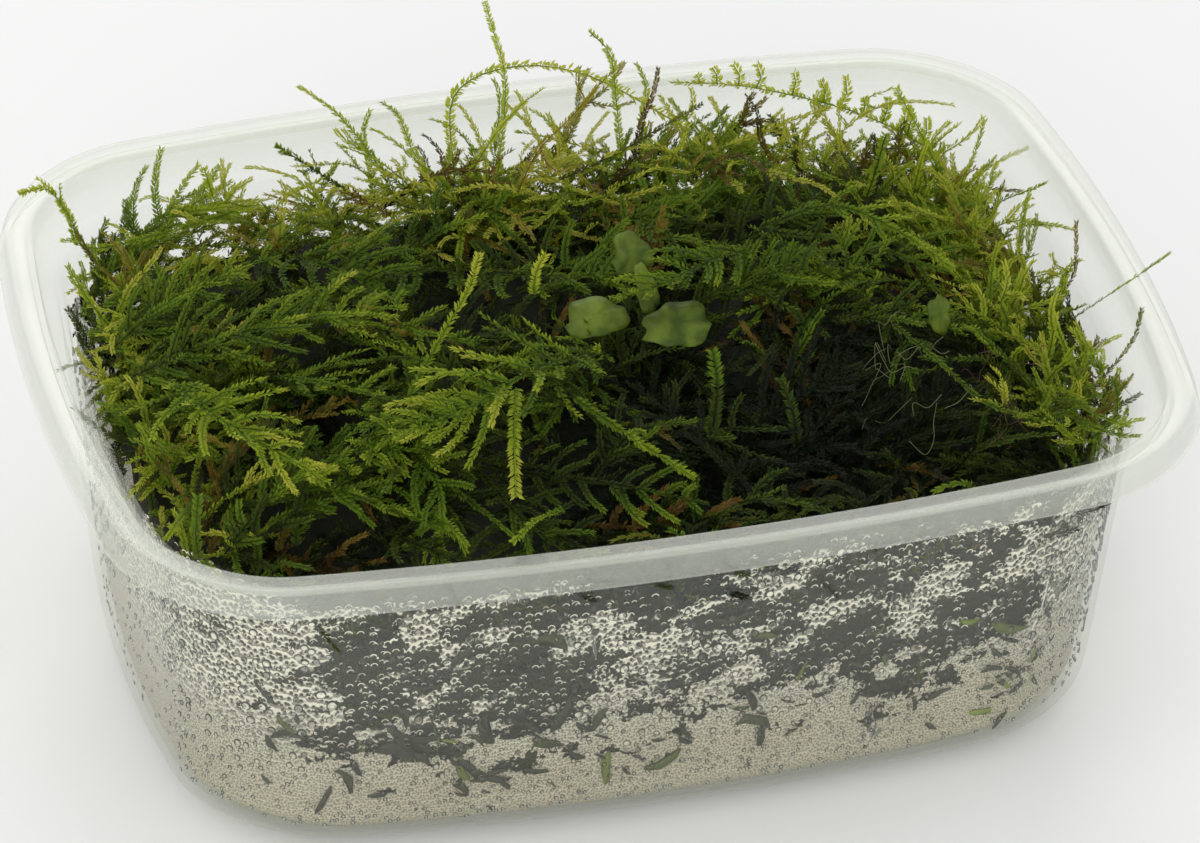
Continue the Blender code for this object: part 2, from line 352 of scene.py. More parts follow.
def tub_section():
    """The moulding's section: under the base, up the outside, over the rim, down the inside."""
    top = TUB_HEIGHT
    wall_top = top - COLLAR_DEPTH - 1.2
    outside = [(*level, 0.0) for level in BASE_LEVELS] + base_curve(0.0)
    for share in (0.2, 0.4, 0.6, 0.8, 0.97, 1.0):
        height = BASE_ROUND + (wall_top - BASE_ROUND) * share
        outside.append((wall_inset(height), WALL_CORNER, height))
    rim = [
        (MOUTH_INSET - WALL + 0.15, 15.5, top - COLLAR_DEPTH - 0.1),
        (MOUTH_INSET - WALL, 15.5, top - COLLAR_DEPTH + 0.3),
        (MOUTH_INSET - WALL, 15.5, top - WALL - 0.5),
        (MOUTH_INSET - WALL - 0.3, 15.7, top - WALL - 0.2),
        (1.9, 17.7, top - WALL - 0.2),
        (1.6, 17.8, top - WALL - 0.4),
        (WALL + 0.05, 18.7, top - SKIRT_DEPTH + 0.15),
        (WALL, 18.7, top - SKIRT_DEPTH),
        (0.1, RIM_CORNER, top - SKIRT_DEPTH),
        (0.0, RIM_CORNER, top - SKIRT_DEPTH + 0.12),
        (0.06, 19.3, top - SKIRT_DEPTH + 0.7),
        (0.35, 19.1, top - SKIRT_DEPTH + 0.95),
        (0.45, 19.0, top - 2.2),
        (0.75, 18.7, top - 0.75),
        (0.72, 18.6, top - 0.4),
        (0.95, 18.4, top - 0.08),
        (1.35, 18.2, top),
        (1.75, 18.0, top - 0.1),
        (2.0, 17.8, top - 0.22),
        (MOUTH_INSET - 0.9, 15.4, top - 0.2),
        (MOUTH_INSET - 0.35, 15.0, top - 0.12),
        (MOUTH_INSET - 0.05, 14.8, top - 0.3),
        (MOUTH_INSET, 14.8, top - 0.7),
        (MOUTH_INSET, 14.8, top - COLLAR_DEPTH - 0.1),
        (MOUTH_INSET + 0.2, 14.9, top - COLLAR_DEPTH - 0.5),
    ]
    inside = []
    for share in (1.0, 0.97, 0.8, 0.6, 0.4, 0.2):
        height = BASE_ROUND + (wall_top - WALL / 2 - BASE_ROUND) * share
        inside.append((wall_inset(height) + WALL, INNER_CORNER, height))
    inside.extend(reversed(base_curve(WALL)))
    inside.extend([(*level, WALL) for level in reversed(BASE_LEVELS)])
    return outside + rim + inside


def milky_plastic():
    """Thin polypropylene: nearly clear in the wall, milky in the rim, and softly glossy."""
    finish = Finish("milky_plastic")
    place = finish.node("ShaderNodeTexCoord", out=3)
    height = finish.node("ShaderNodeSeparateXYZ", out=2, Vector=place)
    cloud = finish.node("ShaderNodeTexNoise", Vector=place, Scale=45.0, Detail=4.0)
    streak = finish.node("ShaderNodeTexNoise", Vector=place, Scale=500.0, Detail=2.0)
    bump = finish.node("ShaderNodeBump", Height=streak, Strength=0.08, Distance=0.0001)
    tone = blend_colours(finish, cloud, (0.76, 0.80, 0.71), (0.84, 0.86, 0.80))
    front = finish.node("ShaderNodeBsdfPrincipled", Base_Color=tone, Roughness=0.4,
                        Specular_IOR_Level=0.2)
    through = finish.node("ShaderNodeBsdfTranslucent", Color=(0.85, 0.865, 0.81))
    milk = finish.node("ShaderNodeMixShader", at_0=0.55, at_1=front, at_2=through)
    clear = finish.node("ShaderNodeBsdfTransparent", Color=(0.975, 0.98, 0.96))
    rim = height.between(*MILKY_RIM)
    foot = height.between(*CLOUDY_FOOT)
    density = 0.03 + 0.03 * cloud + 0.19 * rim + 0.16 * foot
    body = finish.node("ShaderNodeMixShader", at_0=density, at_1=clear, at_2=milk)
    edge_on = finish.node("ShaderNodeLayerWeight", out=1, Blend=0.5)
    shine = 0.02 + 0.3 * (edge_on * edge_on * edge_on * edge_on)
    gloss = finish.node("ShaderNodeBsdfGlossy", Color=(0.95, 0.95, 0.95), Roughness=0.24,
                        Normal=bump)
    return finish.surface(finish.node("ShaderNodeMixShader", at_0=shine, at_1=body, at_2=gloss))


tub = piece_from("tub_moulding", loft([tub_outline(*level) for level in tub_section()], True),
                 milky_plastic())
rounding = tub.modifiers.new("rounding", "SUBSURF")
rounding.levels = 1
rounding.render_levels = 1
tub.visible_shadow = False
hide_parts("tub")


# ---------------------------------------------------------------- condensation
# Moist air in the tub clouds the inside of the wall with a fine film of water, except where
# moss has wiped it clear. Larger drops hang in the film, and some have run down in tracks.

FILM_DEPTH = 0.8
FILM_LOW, FILM_HIGH = 2.0, 45.5
FILM_STEPS, FILM_TURNS = 46, 440
FILM_ROUND = 420
# The front of the wall is before one place across the tub, and its corners end at another.
WALL_FRONT = -25
FRONT_CORNERS = -20
# Each patch on the front: how well it is wiped, its place along and up, and its reach.
WIPED_PATCHES = (
    (0.45, -34, 33, 15, 9),
    (0.35, -25, 21, 11, 6),
    (0.85, -7, 39, 13, 4),
    (0.4, 8, 30, 12, 7),
    (0.45, 34, 33, 14, 9),
    (0.4, 26, 18, 12, 6),
)
DROP_CELL = 1.2
DROP_DEPTH = 0.03
LARGE_DROP = 0.38
FRONT_FROM, FRONT_TO = 0.50, 0.97
# Each run: its place along the front, its top and bottom, and its half width.
RUNS = ((49.5, 35.5, 13.0, 0.42), (28.0, 13.5, 5.5, 0.55), (53.5, 30.0, 22.0, 0.3),
        (-12.0, 34.0, 29.0, 0.35))
RUN_STEPS = 24
SCRAP_COUNT = 130
SCRAP_SIDES = 11
SCRAP_THICKNESS = 0.12
wall_rings = {}


def wall_ring(inset):
    """The points of a fine outline at this inset and how far round each one is."""
    key = round(inset * 10)
    if key not in wall_rings:
        outline = tub_outline(key / 10, INNER_CORNER, 0, 24, 40)
        points = np.array([tuple(point)[:2] for point in outline])
        closed = np.vstack([points, points[:1]])
        reach = np.concatenate([[0], np.cumsum(np.hypot(*np.diff(closed, axis=0).T))])
        wall_rings[key] = (closed, reach)
    return wall_rings[key]


def on_wall(round_share, height, depth):
    """A point this far round the inside of the wall (0 to 1) and the way into the tub there."""
    lowered = max(0.0, 1 - height / (BASE_ROUND + WALL))
    foot = BASE_RADIUS * (1 - math.sqrt(max(0.0, 1 - lowered ** 2)))
    closed, reach = wall_ring(wall_inset(height) + WALL + depth + foot)
    along = (round_share % 1.0) * reach[-1]
    x = np.interp(along, reach, closed[:, 0])
    y = np.interp(along, reach, closed[:, 1])
    ahead = (along + 0.5) % reach[-1]
    dx = np.interp(ahead, reach, closed[:, 0]) - x
    dy = np.interp(ahead, reach, closed[:, 1]) - y
    inwards = Vector((-dy, dx, 0)).normalized()
    return Vector((x, y, height)), inwards


def hump(x, y, centre_x, centre_y, reach_x, reach_y):
    """A smooth hump, 1 at its centre, that fades over its reach."""
    return math.exp(-((x - centre_x) / reach_x) ** 2 - ((y - centre_y) / reach_y) ** 2)


def ramp(value, low, high):
    """0 up to low, 1 from high on, and straight between them."""
    return min(1.0, max(0.0, (value - low) / (high - low)))


def fogging(point):
    """How clouded the wall is at a point: 1 in full mist, 0 or less where it is wiped clear."""
    slanted = Vector((point.x * 0.13 - point.z * 0.14, point.y * 0.10, point.z * 0.24))
    patch = noise.noise(slanted) + 0.8 * noise.noise(slanted * 2.3 + Vector((5, 5, 5)))
    patch += 0.5 * noise.noise(slanted * 5.1)
    low_down = 1 - ramp(point.z, 7, 19)
    left_end = ramp(-point.x, 44, 54)
    right_end = ramp(point.x, 46, 54)
    wiped = 2 * ramp(point.z, 40.5, 43.5)
    if point.y < WALL_FRONT:
        wiped += sum(depth * hump(point.x, point.z, *patch) for depth, *patch in WIPED_PATCHES)
    if point.y > FRONT_CORNERS:
        wiped += 2 * ramp(point.z, 33, 43)
    return 0.56 + 1.15 * patch + 0.75 * low_down + 0.9 * left_end + 0.3 * right_end - wiped


def add_film():
    """One thin sheet of mist all round the inside of the wall."""
    levels = []
    for step in range(FILM_STEPS + 1):
        height = FILM_LOW + (FILM_HIGH - FILM_LOW) * step / FILM_STEPS
        levels.append([on_wall(turn / FILM_TURNS, height, FILM_DEPTH)[0]
                       for turn in range(FILM_TURNS)])
    bm = loft(levels, False)
    fog = bm.verts.layers.float.new("fog")
    spread = bm.verts.layers.float_vector.new("spread")
    for number, vert in enumerate(bm.verts):
        vert[fog] = fogging(vert.co)
        vert[spread] = Vector(((number % FILM_TURNS) * FILM_ROUND / FILM_TURNS, vert.co.z, 0))
    film = piece_from("water_mist", bm, water_mist())
    film.visible_shadow = False


def water_mist():
    """Fine beads low down, larger beads and arcs higher up, with painted highlights on their rims
    and painted shade in their hearts, and gaps where it is clear.
    """
    finish = Finish("water_mist")
    fog = finish.node("ShaderNodeAttribute", {"attribute_name": "fog"}, out=2)
    place = finish.node("ShaderNodeAttribute", {"attribute_name": "spread"}, out=1)
    rough = finish.node("ShaderNodeTexNoise", {"noise_dimensions": "2D"}, Vector=place,
                        Scale=1.3, Detail=3.0)
    height = finish.node("ShaderNodeSeparateXYZ", out=1, Vector=place)

    def cells(scale):
        """Each cell's distance from its middle, height above it, and share of luck."""
        cell = finish.node("ShaderNodeTexVoronoi", {"voronoi_dimensions": "2D"}, Vector=place,
                           Scale=scale, Randomness=0.85)
        outputs = cell.socket.node.outputs
        middle = finish.node("ShaderNodeSeparateXYZ", out=1,
                             Vector=Number(finish, outputs["Position"]))
        luck = finish.node("ShaderNodeSeparateColor", Color=Number(finish, outputs["Color"]))
        return cell, (height - middle) * scale, luck

    def beads(scale):
        """Beads with a painted highlight round the rim, brightest on the upper side, and painted
        shade in the heart.
        """
        far, above, _ = cells(scale)
        return far.between(0.2, 0.38) * (0.35 + 0.65 * above.between(-0.3, 0.15))

    def arcs(scale, chance):
        """Painted highlights: the bright upper rims of larger drops, in this share of the cells."""
        far, above, luck = cells(scale)
        ring = far.between(0.2, 0.27) * (1.0 - far.between(0.3, 0.38))
        return ring * above.between(-0.05, 0.12) * luck.between(1.0 - chance, 1.02 - chance)

    fine = height.between(27.0, 12.0)
    bead_light = beads(1.1) * (1.0 - fine) + beads(2.2) * fine
    glints = arcs(0.62, 0.5) + arcs(0.9, 0.4)
    glints = glints * height.between(13.0, 20.0) * fog.between(-0.9, -0.2)
    # The painted highlight: the brighter of the bead rims and the arcs, which picks between the two
    # tones below.
    bright = finish.node("ShaderNodeMath", {"operation": "MAXIMUM"}, at_0=bead_light, at_1=glints)
    # Painted shade in the bead hearts, darker higher up, and a painted highlight on the rims,
    # dimmer low down.
    heart_shade_tone = blend_colours(finish, height.between(26.0, 10.0), (0.13, 0.125, 0.095),
                             (0.31, 0.275, 0.20))
    highlight_tone = blend_colours(finish, height.between(26.0, 8.0), (1.0, 0.97, 0.85),
                              (0.66, 0.61, 0.48))
    tone = blend_colours(finish, bright, heart_shade_tone, highlight_tone)
    front = finish.node("ShaderNodeBsdfPrincipled", Base_Color=tone, Roughness=0.4,
                        Specular_IOR_Level=0.2)
    through = finish.node("ShaderNodeBsdfTranslucent", Color=(0.85, 0.82, 0.66))
    mist = finish.node("ShaderNodeMixShader", at_0=0.15, at_1=front, at_2=through)
    clear = finish.node("ShaderNodeBsdfTransparent", Color=(1.0, 1.0, 1.0))
    misted = (fog + 1.3 * (rough - 0.5)).between(0.42, 0.50)
    cover = finish.node("ShaderNodeMath", {"operation": "MAXIMUM"}, at_1=0.95 * glints,
                        at_0=misted * (0.4 + 0.25 * fine + 0.57 * bead_light) + 0.03)
    return finish.surface(finish.node("ShaderNodeMixShader", at_0=cover, at_1=clear, at_2=mist))


def drop_shape(segments, rings):
    """A flat-backed drop of unit radius that bulges along +Z, as vertices and faces."""
    bm = bmesh.new()
    bmesh.ops.create_uvsphere(bm, u_segments=segments, v_segments=rings * 2, radius=1)
    everything = bm.verts[:] + bm.edges[:] + bm.faces[:]
    bmesh.ops.bisect_plane(bm, geom=everything, plane_co=(0, 0, 0), plane_no=(0, 0, -1),
                           clear_outer=True)
    rim = [edge for edge in bm.edges if edge.is_boundary]
    bmesh.ops.contextual_create(bm, geom=rim)
    bmesh.ops.triangulate(bm, faces=bm.faces)
    bmesh.ops.recalc_face_normals(bm, faces=bm.faces)
    return arrays_of(bm)


def arrays_of(bm):
    """A bmesh's points and triangles as arrays, for laying many copies at once."""
    bm.verts.index_update()
    points = np.array([tuple(vert.co) for vert in bm.verts])
    faces = np.array([[vert.index for vert in face.verts] for face in bm.faces])
    bm.free()
    return points, faces


def joined_mesh(name, parts):
    """One mesh from (points, triangles) pairs in millimetres."""
    offsets = np.cumsum([0] + [len(points) for points, _ in parts[:-1]])
    points = np.concatenate([points for points, _ in parts]) * MM
    faces = np.concatenate([faces + start for (_, faces), start in zip(parts, offsets)])
    mesh = bpy.data.meshes.new(name)
    mesh.vertices.add(len(points))
    mesh.vertices.foreach_set("co", points.ravel())
    mesh.loops.add(faces.size)
    mesh.loops.foreach_set("vertex_index", faces.ravel())
    mesh.polygons.add(len(faces))
    mesh.polygons.foreach_set("loop_start", np.arange(0, faces.size, 3))
    mesh.update(calc_edges=True)
    return mesh


def scatter_drops(draw, tries, low, high, big, small):
    """Places and radii of drops that don't touch, between two shares of the way round."""
    grid = {}
    drops = []
    length = wall_ring(wall_inset(25) + WALL)[1][-1]
    for _ in range(tries):
        share = draw.uniform(low, high)
        height = draw.uniform(4.5, FILM_HIGH - 0.5)
        point, inwards = on_wall(share, height, DROP_DEPTH)
        fog = fogging(point)
        if fog < 0.5 and (point.y > FRONT_CORNERS or draw.random() < 0.75):
            continue
        upper = ramp(height, 8, 22)
        size = small + (big - small) * upper * draw.random() ** 1.6
        along = share * length
        key = (int(along / DROP_CELL), int(height / DROP_CELL))
        near = [drop for i in (-1, 0, 1) for j in (-1, 0, 1)
                for drop in grid.get((key[0] + i, key[1] + j), ())]
        if any(math.hypot(along - a, height - h) < (size + s) * 1.02 for a, h, s in near):
            continue
        grid.setdefault(key, []).append((along, height, size))
        drops.append((point, inwards, size))
    return drops


def add_drops(name, draw, drops, finish):
    """Lays one flattened drop on the wall at each place."""
    coarse = drop_shape(6, 2)
    round_shape = drop_shape(10, 3)
    parts = []
    for point, inwards, size in drops:
        shape, faces = round_shape if size > LARGE_DROP else coarse
        across = Vector((-inwards.y, inwards.x, 0))
        wide = size * draw.uniform(0.9, 1.15)
        tall = size * draw.uniform(0.9, 1.2)
        deep = size * draw.uniform(0.55, 0.75)
        axes = np.array([across * wide, Vector((0, 0, tall)), inwards * deep])
        parts.append((shape @ axes + np.array(point), faces))
    piece = piece_of(name, joined_mesh(name, parts), finish)
    piece.visible_shadow = False


def wall_share(x):
    """How far round the inside of the wall a place on the front lies, from its x."""
    closed, reach = wall_ring(wall_inset(25) + WALL)
    near = [(abs(point[0] - x), along) for point, along in zip(closed, reach)
            if point[1] < 0]
    return min(near)[1] / reach[-1]


def skin(bm, rings):
    """Faces between each ring of vertices and the next, and over both ends."""
    sides = len(rings[0])
    for first, second in zip(rings, rings[1:]):
        for side in range(sides):
            ahead = (side + 1) % sides
            bm.faces.new((first[side], first[ahead], second[ahead], second[side]))
    bm.faces.new(rings[0])
    bm.faces.new(rings[-1])


def add_runs(finish):
    """Drops that have run down the front and right of the wall, narrow, long and wavering."""
    bm = bmesh.new()
    for x, top, bottom, wide in RUNS:
        share = wall_share(x)
        rings = []
        for step in range(RUN_STEPS + 1):
            done = step / RUN_STEPS
            height = top + (bottom - top) * done
            waver = 0.0035 * noise.noise(Vector((x, height * 0.16, 4)))
            middle, inwards = on_wall(share + waver, height, DROP_DEPTH)
            across = Vector((-inwards.y, inwards.x, 0))
            taper = min(1.0, 0.15 + 3 * min(done, 1 - done))
            half = wide * (0.35 + 0.65 * done) * taper
            ring = []
            for side, deep in ((-1, 0.0), (-0.6, 0.45), (0, 0.65), (0.6, 0.45), (1, 0.0)):
                ring.append(bm.verts.new(middle + across * side * half + inwards * deep * half))
            rings.append(ring)
        skin(bm, rings)
    bmesh.ops.recalc_face_normals(bm, faces=bm.faces)
    piece_from("water_runs", bm, finish).visible_shadow = False


def add_scraps():
    """Torn leaves and crumbs of old moss stuck to the inside of the wall, mostly low down."""
    draw = random.Random(13)
    bm = bmesh.new()
    tone = bm.verts.layers.float.new("tone")
    for _ in range(SCRAP_COUNT):
        low_left = draw.random() < 0.15
        x = draw.uniform(-56, -20) if low_left else draw.uniform(-38, 52)
        height = draw.triangular(4.5, 34, 12)
        share = wall_share(x) + draw.uniform(-0.004, 0.004)
        middle, inwards = on_wall(share, height, draw.uniform(0.25, 0.45))
        across = Vector((-inwards.y, inwards.x, 0))
        long = draw.triangular(0.4, 2.6, 0.8) * (1.2 if height > 9 else 0.8)
        wide = long * draw.uniform(0.14, 0.34)
        turn = draw.gauss(0.5, 0.7)
        bend = draw.uniform(-0.5, 0.5)
        front, back = [], []
        for side in range(SCRAP_SIDES):
            angle = 2 * math.pi * side / SCRAP_SIDES
            along = math.cos(angle) * long * draw.uniform(0.75, 1.15)
            over = math.sin(angle) * wide * draw.uniform(0.5, 1.3) + bend * along ** 2 / long
            flat = along * math.cos(turn) - over * math.sin(turn)
            tall = along * math.sin(turn) + over * math.cos(turn)
            place = middle + across * flat + Vector((0, 0, max(3.5 - middle.z, tall)))
            front.append(bm.verts.new(place))
            back.append(bm.verts.new(place + inwards * SCRAP_THICKNESS))
        green = draw.random() ** 9
        for vert in front + back:
            vert[tone] = green
        bm.faces.new(front)
        bm.faces.new(back[::-1])
        for side in range(SCRAP_SIDES):
            ahead = (side + 1) % SCRAP_SIDES
            bm.faces.new((front[side], back[side], back[ahead], front[ahead]))
    bmesh.ops.triangulate(bm, faces=bm.faces)
    bmesh.ops.recalc_face_normals(bm, faces=bm.faces)
    scraps = two_toned("moss_scraps", (0.022, 0.024, 0.010), (0.200, 0.270, 0.020), 0.6)
    piece_from("wall_scraps", bm, scraps)


def two_toned(name, first, second, roughness):
    """A plain finish between two colours, by the tone stored on each vertex."""
    finish = Finish(name)
    tone = finish.node("ShaderNodeAttribute", {"attribute_name": "tone"}, out=2)
    colour = blend_colours(finish, tone, first, second)
    return finish.surface(finish.node("ShaderNodeBsdfPrincipled", Base_Color=colour,
                                      Roughness=roughness))


def water():
    """Clear water."""
    finish = Finish("water")
    return finish.surface(finish.node(
        "ShaderNodeBsdfPrincipled", Base_Color=(1.0, 1.0, 1.0), Roughness=0.0, IOR=1.333,
        Transmission_Weight=1.0))


add_film()
drop_water = water()
drop_draw = random.Random(11)
add_drops("front_drops", drop_draw,
          scatter_drops(drop_draw, 3400, FRONT_FROM, FRONT_TO, 0.75, 0.3), drop_water)
add_drops("back_drops", drop_draw,
          scatter_drops(drop_draw, 1000, FRONT_TO - 1, FRONT_FROM, 0.6, 0.3), drop_water)
add_runs(drop_water)
add_scraps()


# ---------------------------------------------------------------- moss shoots
# Each shoot is a thread-thin stem with two rows of pointed leaves about a millimetre long
# and a few more along its back. The leaves are one cell thick, so light shines through them.

LEAF_LENGTH = 0.98
LEAF_WIDTH = 0.33
LEAF_SPACING = 0.32
STEM_RADIUS = 0.11
SPRIG_LENGTHS = (3.5, 5.0, 7.0, 9.0)
SPRIG_KINDS = 3
STRETCH = 5.0
REACH_LOW = np.array(cad_low) / MM + 0.1
REACH_HIGH = np.array(cad_high) / MM - 0.1


def sprig(length, draw):
    """A straight leafy stretch of stem along +X, as points, triangles and leafiness."""
    bm = bmesh.new()
    lengthways = Matrix.Translation((length / 2, 0, 0)) @ Matrix.Rotation(math.pi / 2, 4, "Y")
    bmesh.ops.create_cone(bm, segments=3, radius1=STEM_RADIUS, radius2=STEM_RADIUS * 0.8,
                          depth=length, cap_ends=False, matrix=lengthways)
    long_edges = [e for e in bm.edges if abs(e.verts[0].co.x - e.verts[1].co.x) > length / 2]
    bmesh.ops.subdivide_edges(bm, edges=long_edges, cuts=max(1, round(length / 2) - 1))
    leafiness = [0.0] * len(bm.verts)
    count = int(length / LEAF_SPACING)
    for number in range(count):
        start = (number + 0.5) * LEAF_SPACING
        rows = [(1, 0.0), (-1, 0.0)]
        if number % 2:
            rows.append((draw.choice((1, -1)), draw.uniform(50, 80)))
        for hand, lift in rows:
            size = draw.uniform(0.85, 1.15)
            spread = math.radians(draw.uniform(38, 56))
            roll = math.radians(draw.uniform(-28, 28) + lift)
            turned = (
                Matrix.Translation((start + draw.uniform(-0.06, 0.06), 0, 0))
                @ Matrix.Rotation(hand * roll, 4, "X")
                @ Matrix.Rotation(hand * spread, 4, "Z")
                @ Matrix.Rotation(math.radians(draw.uniform(-25, 25)), 4, "X")
                @ Matrix.Diagonal((LEAF_LENGTH * size, LEAF_WIDTH * size, 1, 1))
                @ Matrix.Translation((0.5, 0, 0))
            )
            leaf = bmesh.ops.create_circle(bm, segments=4, radius=0.5, cap_ends=True,
                                           matrix=turned)["verts"]
            away = sorted(leaf, key=lambda vert: (vert.co - Vector((start, 0, 0))).length)
            for vert in leaf:
                leafiness.append(0.35 + 0.65 * away.index(vert) / 3)
    bmesh.ops.triangulate(bm, faces=bm.faces)
    points, faces = arrays_of(bm)
    return points, faces, np.array(leafiness)


sprig_draw = random.Random(5)
sprigs = {length: [sprig(length, sprig_draw) for _ in range(SPRIG_KINDS)]
          for length in SPRIG_LENGTHS}


class Shoots:
    """Gathers stretches of shoot, each bent along a short curve, and lays them as one mesh."""

    def __init__(self, seed):
        self.draw = random.Random(seed)
        self.stretches = {}

    def stretch(self, start, middle, end, up, sizes, youth_and_shade, browning):
        """One stretch of leafy shoot from start to end, pulled towards middle."""
        length = ((middle - start).length + (end - middle).length + (end - start).length) / 2
        nearest = min(SPRIG_LENGTHS, key=lambda known: abs(known - length))
        key = (nearest, self.draw.randrange(SPRIG_KINDS))
        self.stretches.setdefault(key, []).append(
            (*start, *middle, *end, *up, *sizes, *youth_and_shade, browning, self.draw.random()))

    def shoot(self, route, size=1.0, youth_and_shade=(0.3, 0.6), browning=0.0, thin_tip=True):
        """A whole shoot along a smooth route, made of stretches a few millimetres long."""
        length = sum((b - a).length for a, b in zip(route, route[1:]))
        count = max(1, round(length / STRETCH))
        marks = smooth_route(route, count * 2)
        for index in range(count):
            start, middle, end = marks[index * 2:index * 2 + 3]
            pull = 2 * middle - (start + end) / 2
            shares = (index / count, (index + 1) / count)
            sizes = [size * (1 - 0.45 * s ** 2 if thin_tip else 1.0) for s in shares]
            ages_and_shade = [youth_and_shade[0] + (youth_and_shade[1] - youth_and_shade[0]) * s for s in shares]
            upright = abs((end - start).normalized().z) >= 0.8
            up = Vector((0, 1, 0)) if upright else Vector((0, 0, 1))
            self.stretch(start, pull, end, up, sizes, ages_and_shade, browning)

    def frond(self, route, reach, spacing=2.5, size=1.0, youth_and_shade=(0.2, 0.6), browning=0.0,
              up=Vector((0, 0, 1)), hands=(1, -1), skip=0.2, tips=0.3, splay=(32, 68)):
        """A shoot with leafy side branches in two rows that get shorter towards the tip."""
        draw = self.draw
        self.shoot(route, size * 0.9, youth_and_shade, browning)
        length = sum((b - a).length for a, b in zip(route, route[1:]))
        count = max(3, int(length / spacing))
        marks = smooth_route(route, count + 1)
        for number in range(1, count + 1):
            share = number / (count + 1)
            heading = (marks[number + 1] - marks[number - 1]).normalized()
            side = heading.cross(up)
            side = side.normalized() if side.length > 0.1 else Vector((1, 0, 0))
            rise = side.cross(heading)
            for hand in hands:
                if draw.random() < skip:
                    continue
                here = marks[number].lerp(marks[number + 1], draw.uniform(-0.4, 0.4))
                swell = math.sin(math.pi * min(1.0, 0.2 + 0.8 * share)) ** 0.6
                long = reach * swell * draw.uniform(0.55, 1.2)
                if long < 1.5:
                    continue
                angle = math.radians(draw.uniform(*splay))
                out = (math.cos(angle) * heading + math.sin(angle) * hand * side
                       + draw.uniform(-0.2, 0.55) * rise).normalized()
                ahead = (out + 0.5 * heading + draw.uniform(-0.5, 0.4) * rise).normalized()
                middle = here + out * long * 0.5
                end = middle + ahead * long * 0.5
                young_and_shade = youth_and_shade[0] + (youth_and_shade[1] - youth_and_shade[0]) * share
                ages_and_shade = (young_and_shade, min(1.0, young_and_shade + tips * draw.uniform(0.2, 1.2)))
                pull = 2 * middle - (here + end) / 2
                self.stretch(here, pull, end, rise, (size, size * 0.6), ages_and_shade, browning)

    def rising(self, start, way, length, size, youth_and_shade, browning, branches):
        """A loose shoot that rises from the mat this way, arches over, and forks a little."""
        draw = self.draw
        sideways = Vector((way.x, way.y, 0))
        sideways += Vector((draw.gauss(0, 0.25), draw.gauss(0, 0.25), 0))
        droop = draw.uniform(-0.1, 0.8)
        route = [start]
        heading = way.normalized()
        for _ in range(4):
            route.append(route[-1] + heading * length / 4)
            wander = Vector((draw.gauss(0, 0.3), draw.gauss(0, 0.3), draw.gauss(0, 0.2)))
            heading += sideways * 0.3 - Vector((0, 0, 0.3 * droop)) + wander
            heading.normalize()
        self.shoot(route, size, youth_and_shade, browning)
        for _ in range(branches):
            share = draw.uniform(0.25, 0.85)
            marks = smooth_route(route, 10)
            index = int(share * 9)
            along = (marks[index + 1] - marks[index]).normalized()
            off = Vector((draw.gauss(0, 1), draw.gauss(0, 1), draw.gauss(0.3, 0.7))).normalized()
            long = length * draw.uniform(0.2, 0.42)
            middle = marks[index] + (along * 0.6 + off * 0.8).normalized() * long * 0.5
            end = middle + (along * 0.9 + off * 0.5).normalized() * long * 0.5
            young_and_shade = youth_and_shade[0] + (youth_and_shade[1] - youth_and_shade[0]) * share
            self.stretch(marks[index], 2 * middle - (marks[index] + end) / 2, end,
                         Vector((0, 0, 1)), (size * 0.9, size * 0.55),
                         (young_and_shade, min(1.0, young_and_shade + 0.2)), browning)

    def mesh(self, name):
        """Bends a copy of a sprig along every gathered stretch and joins them all."""
        parts = []
        tints = []
        for (length, variant), rows in self.stretches.items():
            points, faces, leafiness = sprigs[length][variant]
            rows = np.array(rows)
            start, middle, end, up = (rows[:, i:i + 3][:, None, :] for i in (0, 3, 6, 9))
            near_size, far_size, near_age_and_shade, far_age_and_shade, browning, chance = rows[:, 12:].T[..., None]
            share = (points[:, 0] / length)[None, :]
            t = share[..., None]
            centre = (1 - t) ** 2 * start + 2 * t * (1 - t) * middle + t ** 2 * end
            heading = 2 * (1 - t) * (middle - start) + 2 * t * (end - middle)
            heading /= np.linalg.norm(heading, axis=2, keepdims=True) + 1e-9
            side = np.cross(np.broadcast_to(up, heading.shape), heading)
            side /= np.linalg.norm(side, axis=2, keepdims=True) + 1e-9
            rise = np.cross(heading, side)
            sizes = near_size * (1 - share) + far_size * share
            y = points[:, 1][None, :] * sizes
            z = points[:, 2][None, :] * sizes
            placed = centre + y[..., None] * side + z[..., None] * rise
            placed = np.clip(placed, REACH_LOW, REACH_HIGH)
            copies, size = placed.shape[:2]
            shifts = np.repeat(np.arange(copies) * size, len(faces))[:, None]
            parts.append((placed.reshape(-1, 3), np.tile(faces, (copies, 1)) + shifts))
            tint = np.ones((copies, size, 4))
            tint[..., 0] = near_age_and_shade * (1 - share) + far_age_and_shade * share
            tint[..., 1] = browning
            tint[..., 2] = chance
            tint[..., 3] = leafiness
            tints.append(tint.reshape(-1, 4))
        mesh = joined_mesh(name, parts)
        tint = mesh.attributes.new("tint", "FLOAT_COLOR", "POINT")
        tint.data.foreach_set("color", np.concatenate(tints).ravel())
        return mesh


def smooth_route(route, steps):
    """Points at even shares of a Catmull-Rom curve through a given route."""
    ends = [2 * route[0] - route[1]] + list(route) + [2 * route[-1] - route[-2]]
    curve = []
    spans = len(route) - 1
    for step in range(steps + 1):
        place = min(step * spans / steps, spans - 1e-6)
        index = int(place)
        t = place - index
        a, b, c, d = ends[index:index + 4]
        curve.append(0.5 * (2 * b + (c - a) * t + (2 * a - 5 * b + 4 * c - d) * t ** 2
                            + (3 * b - a - 3 * c + d) * t ** 3))
    return curve


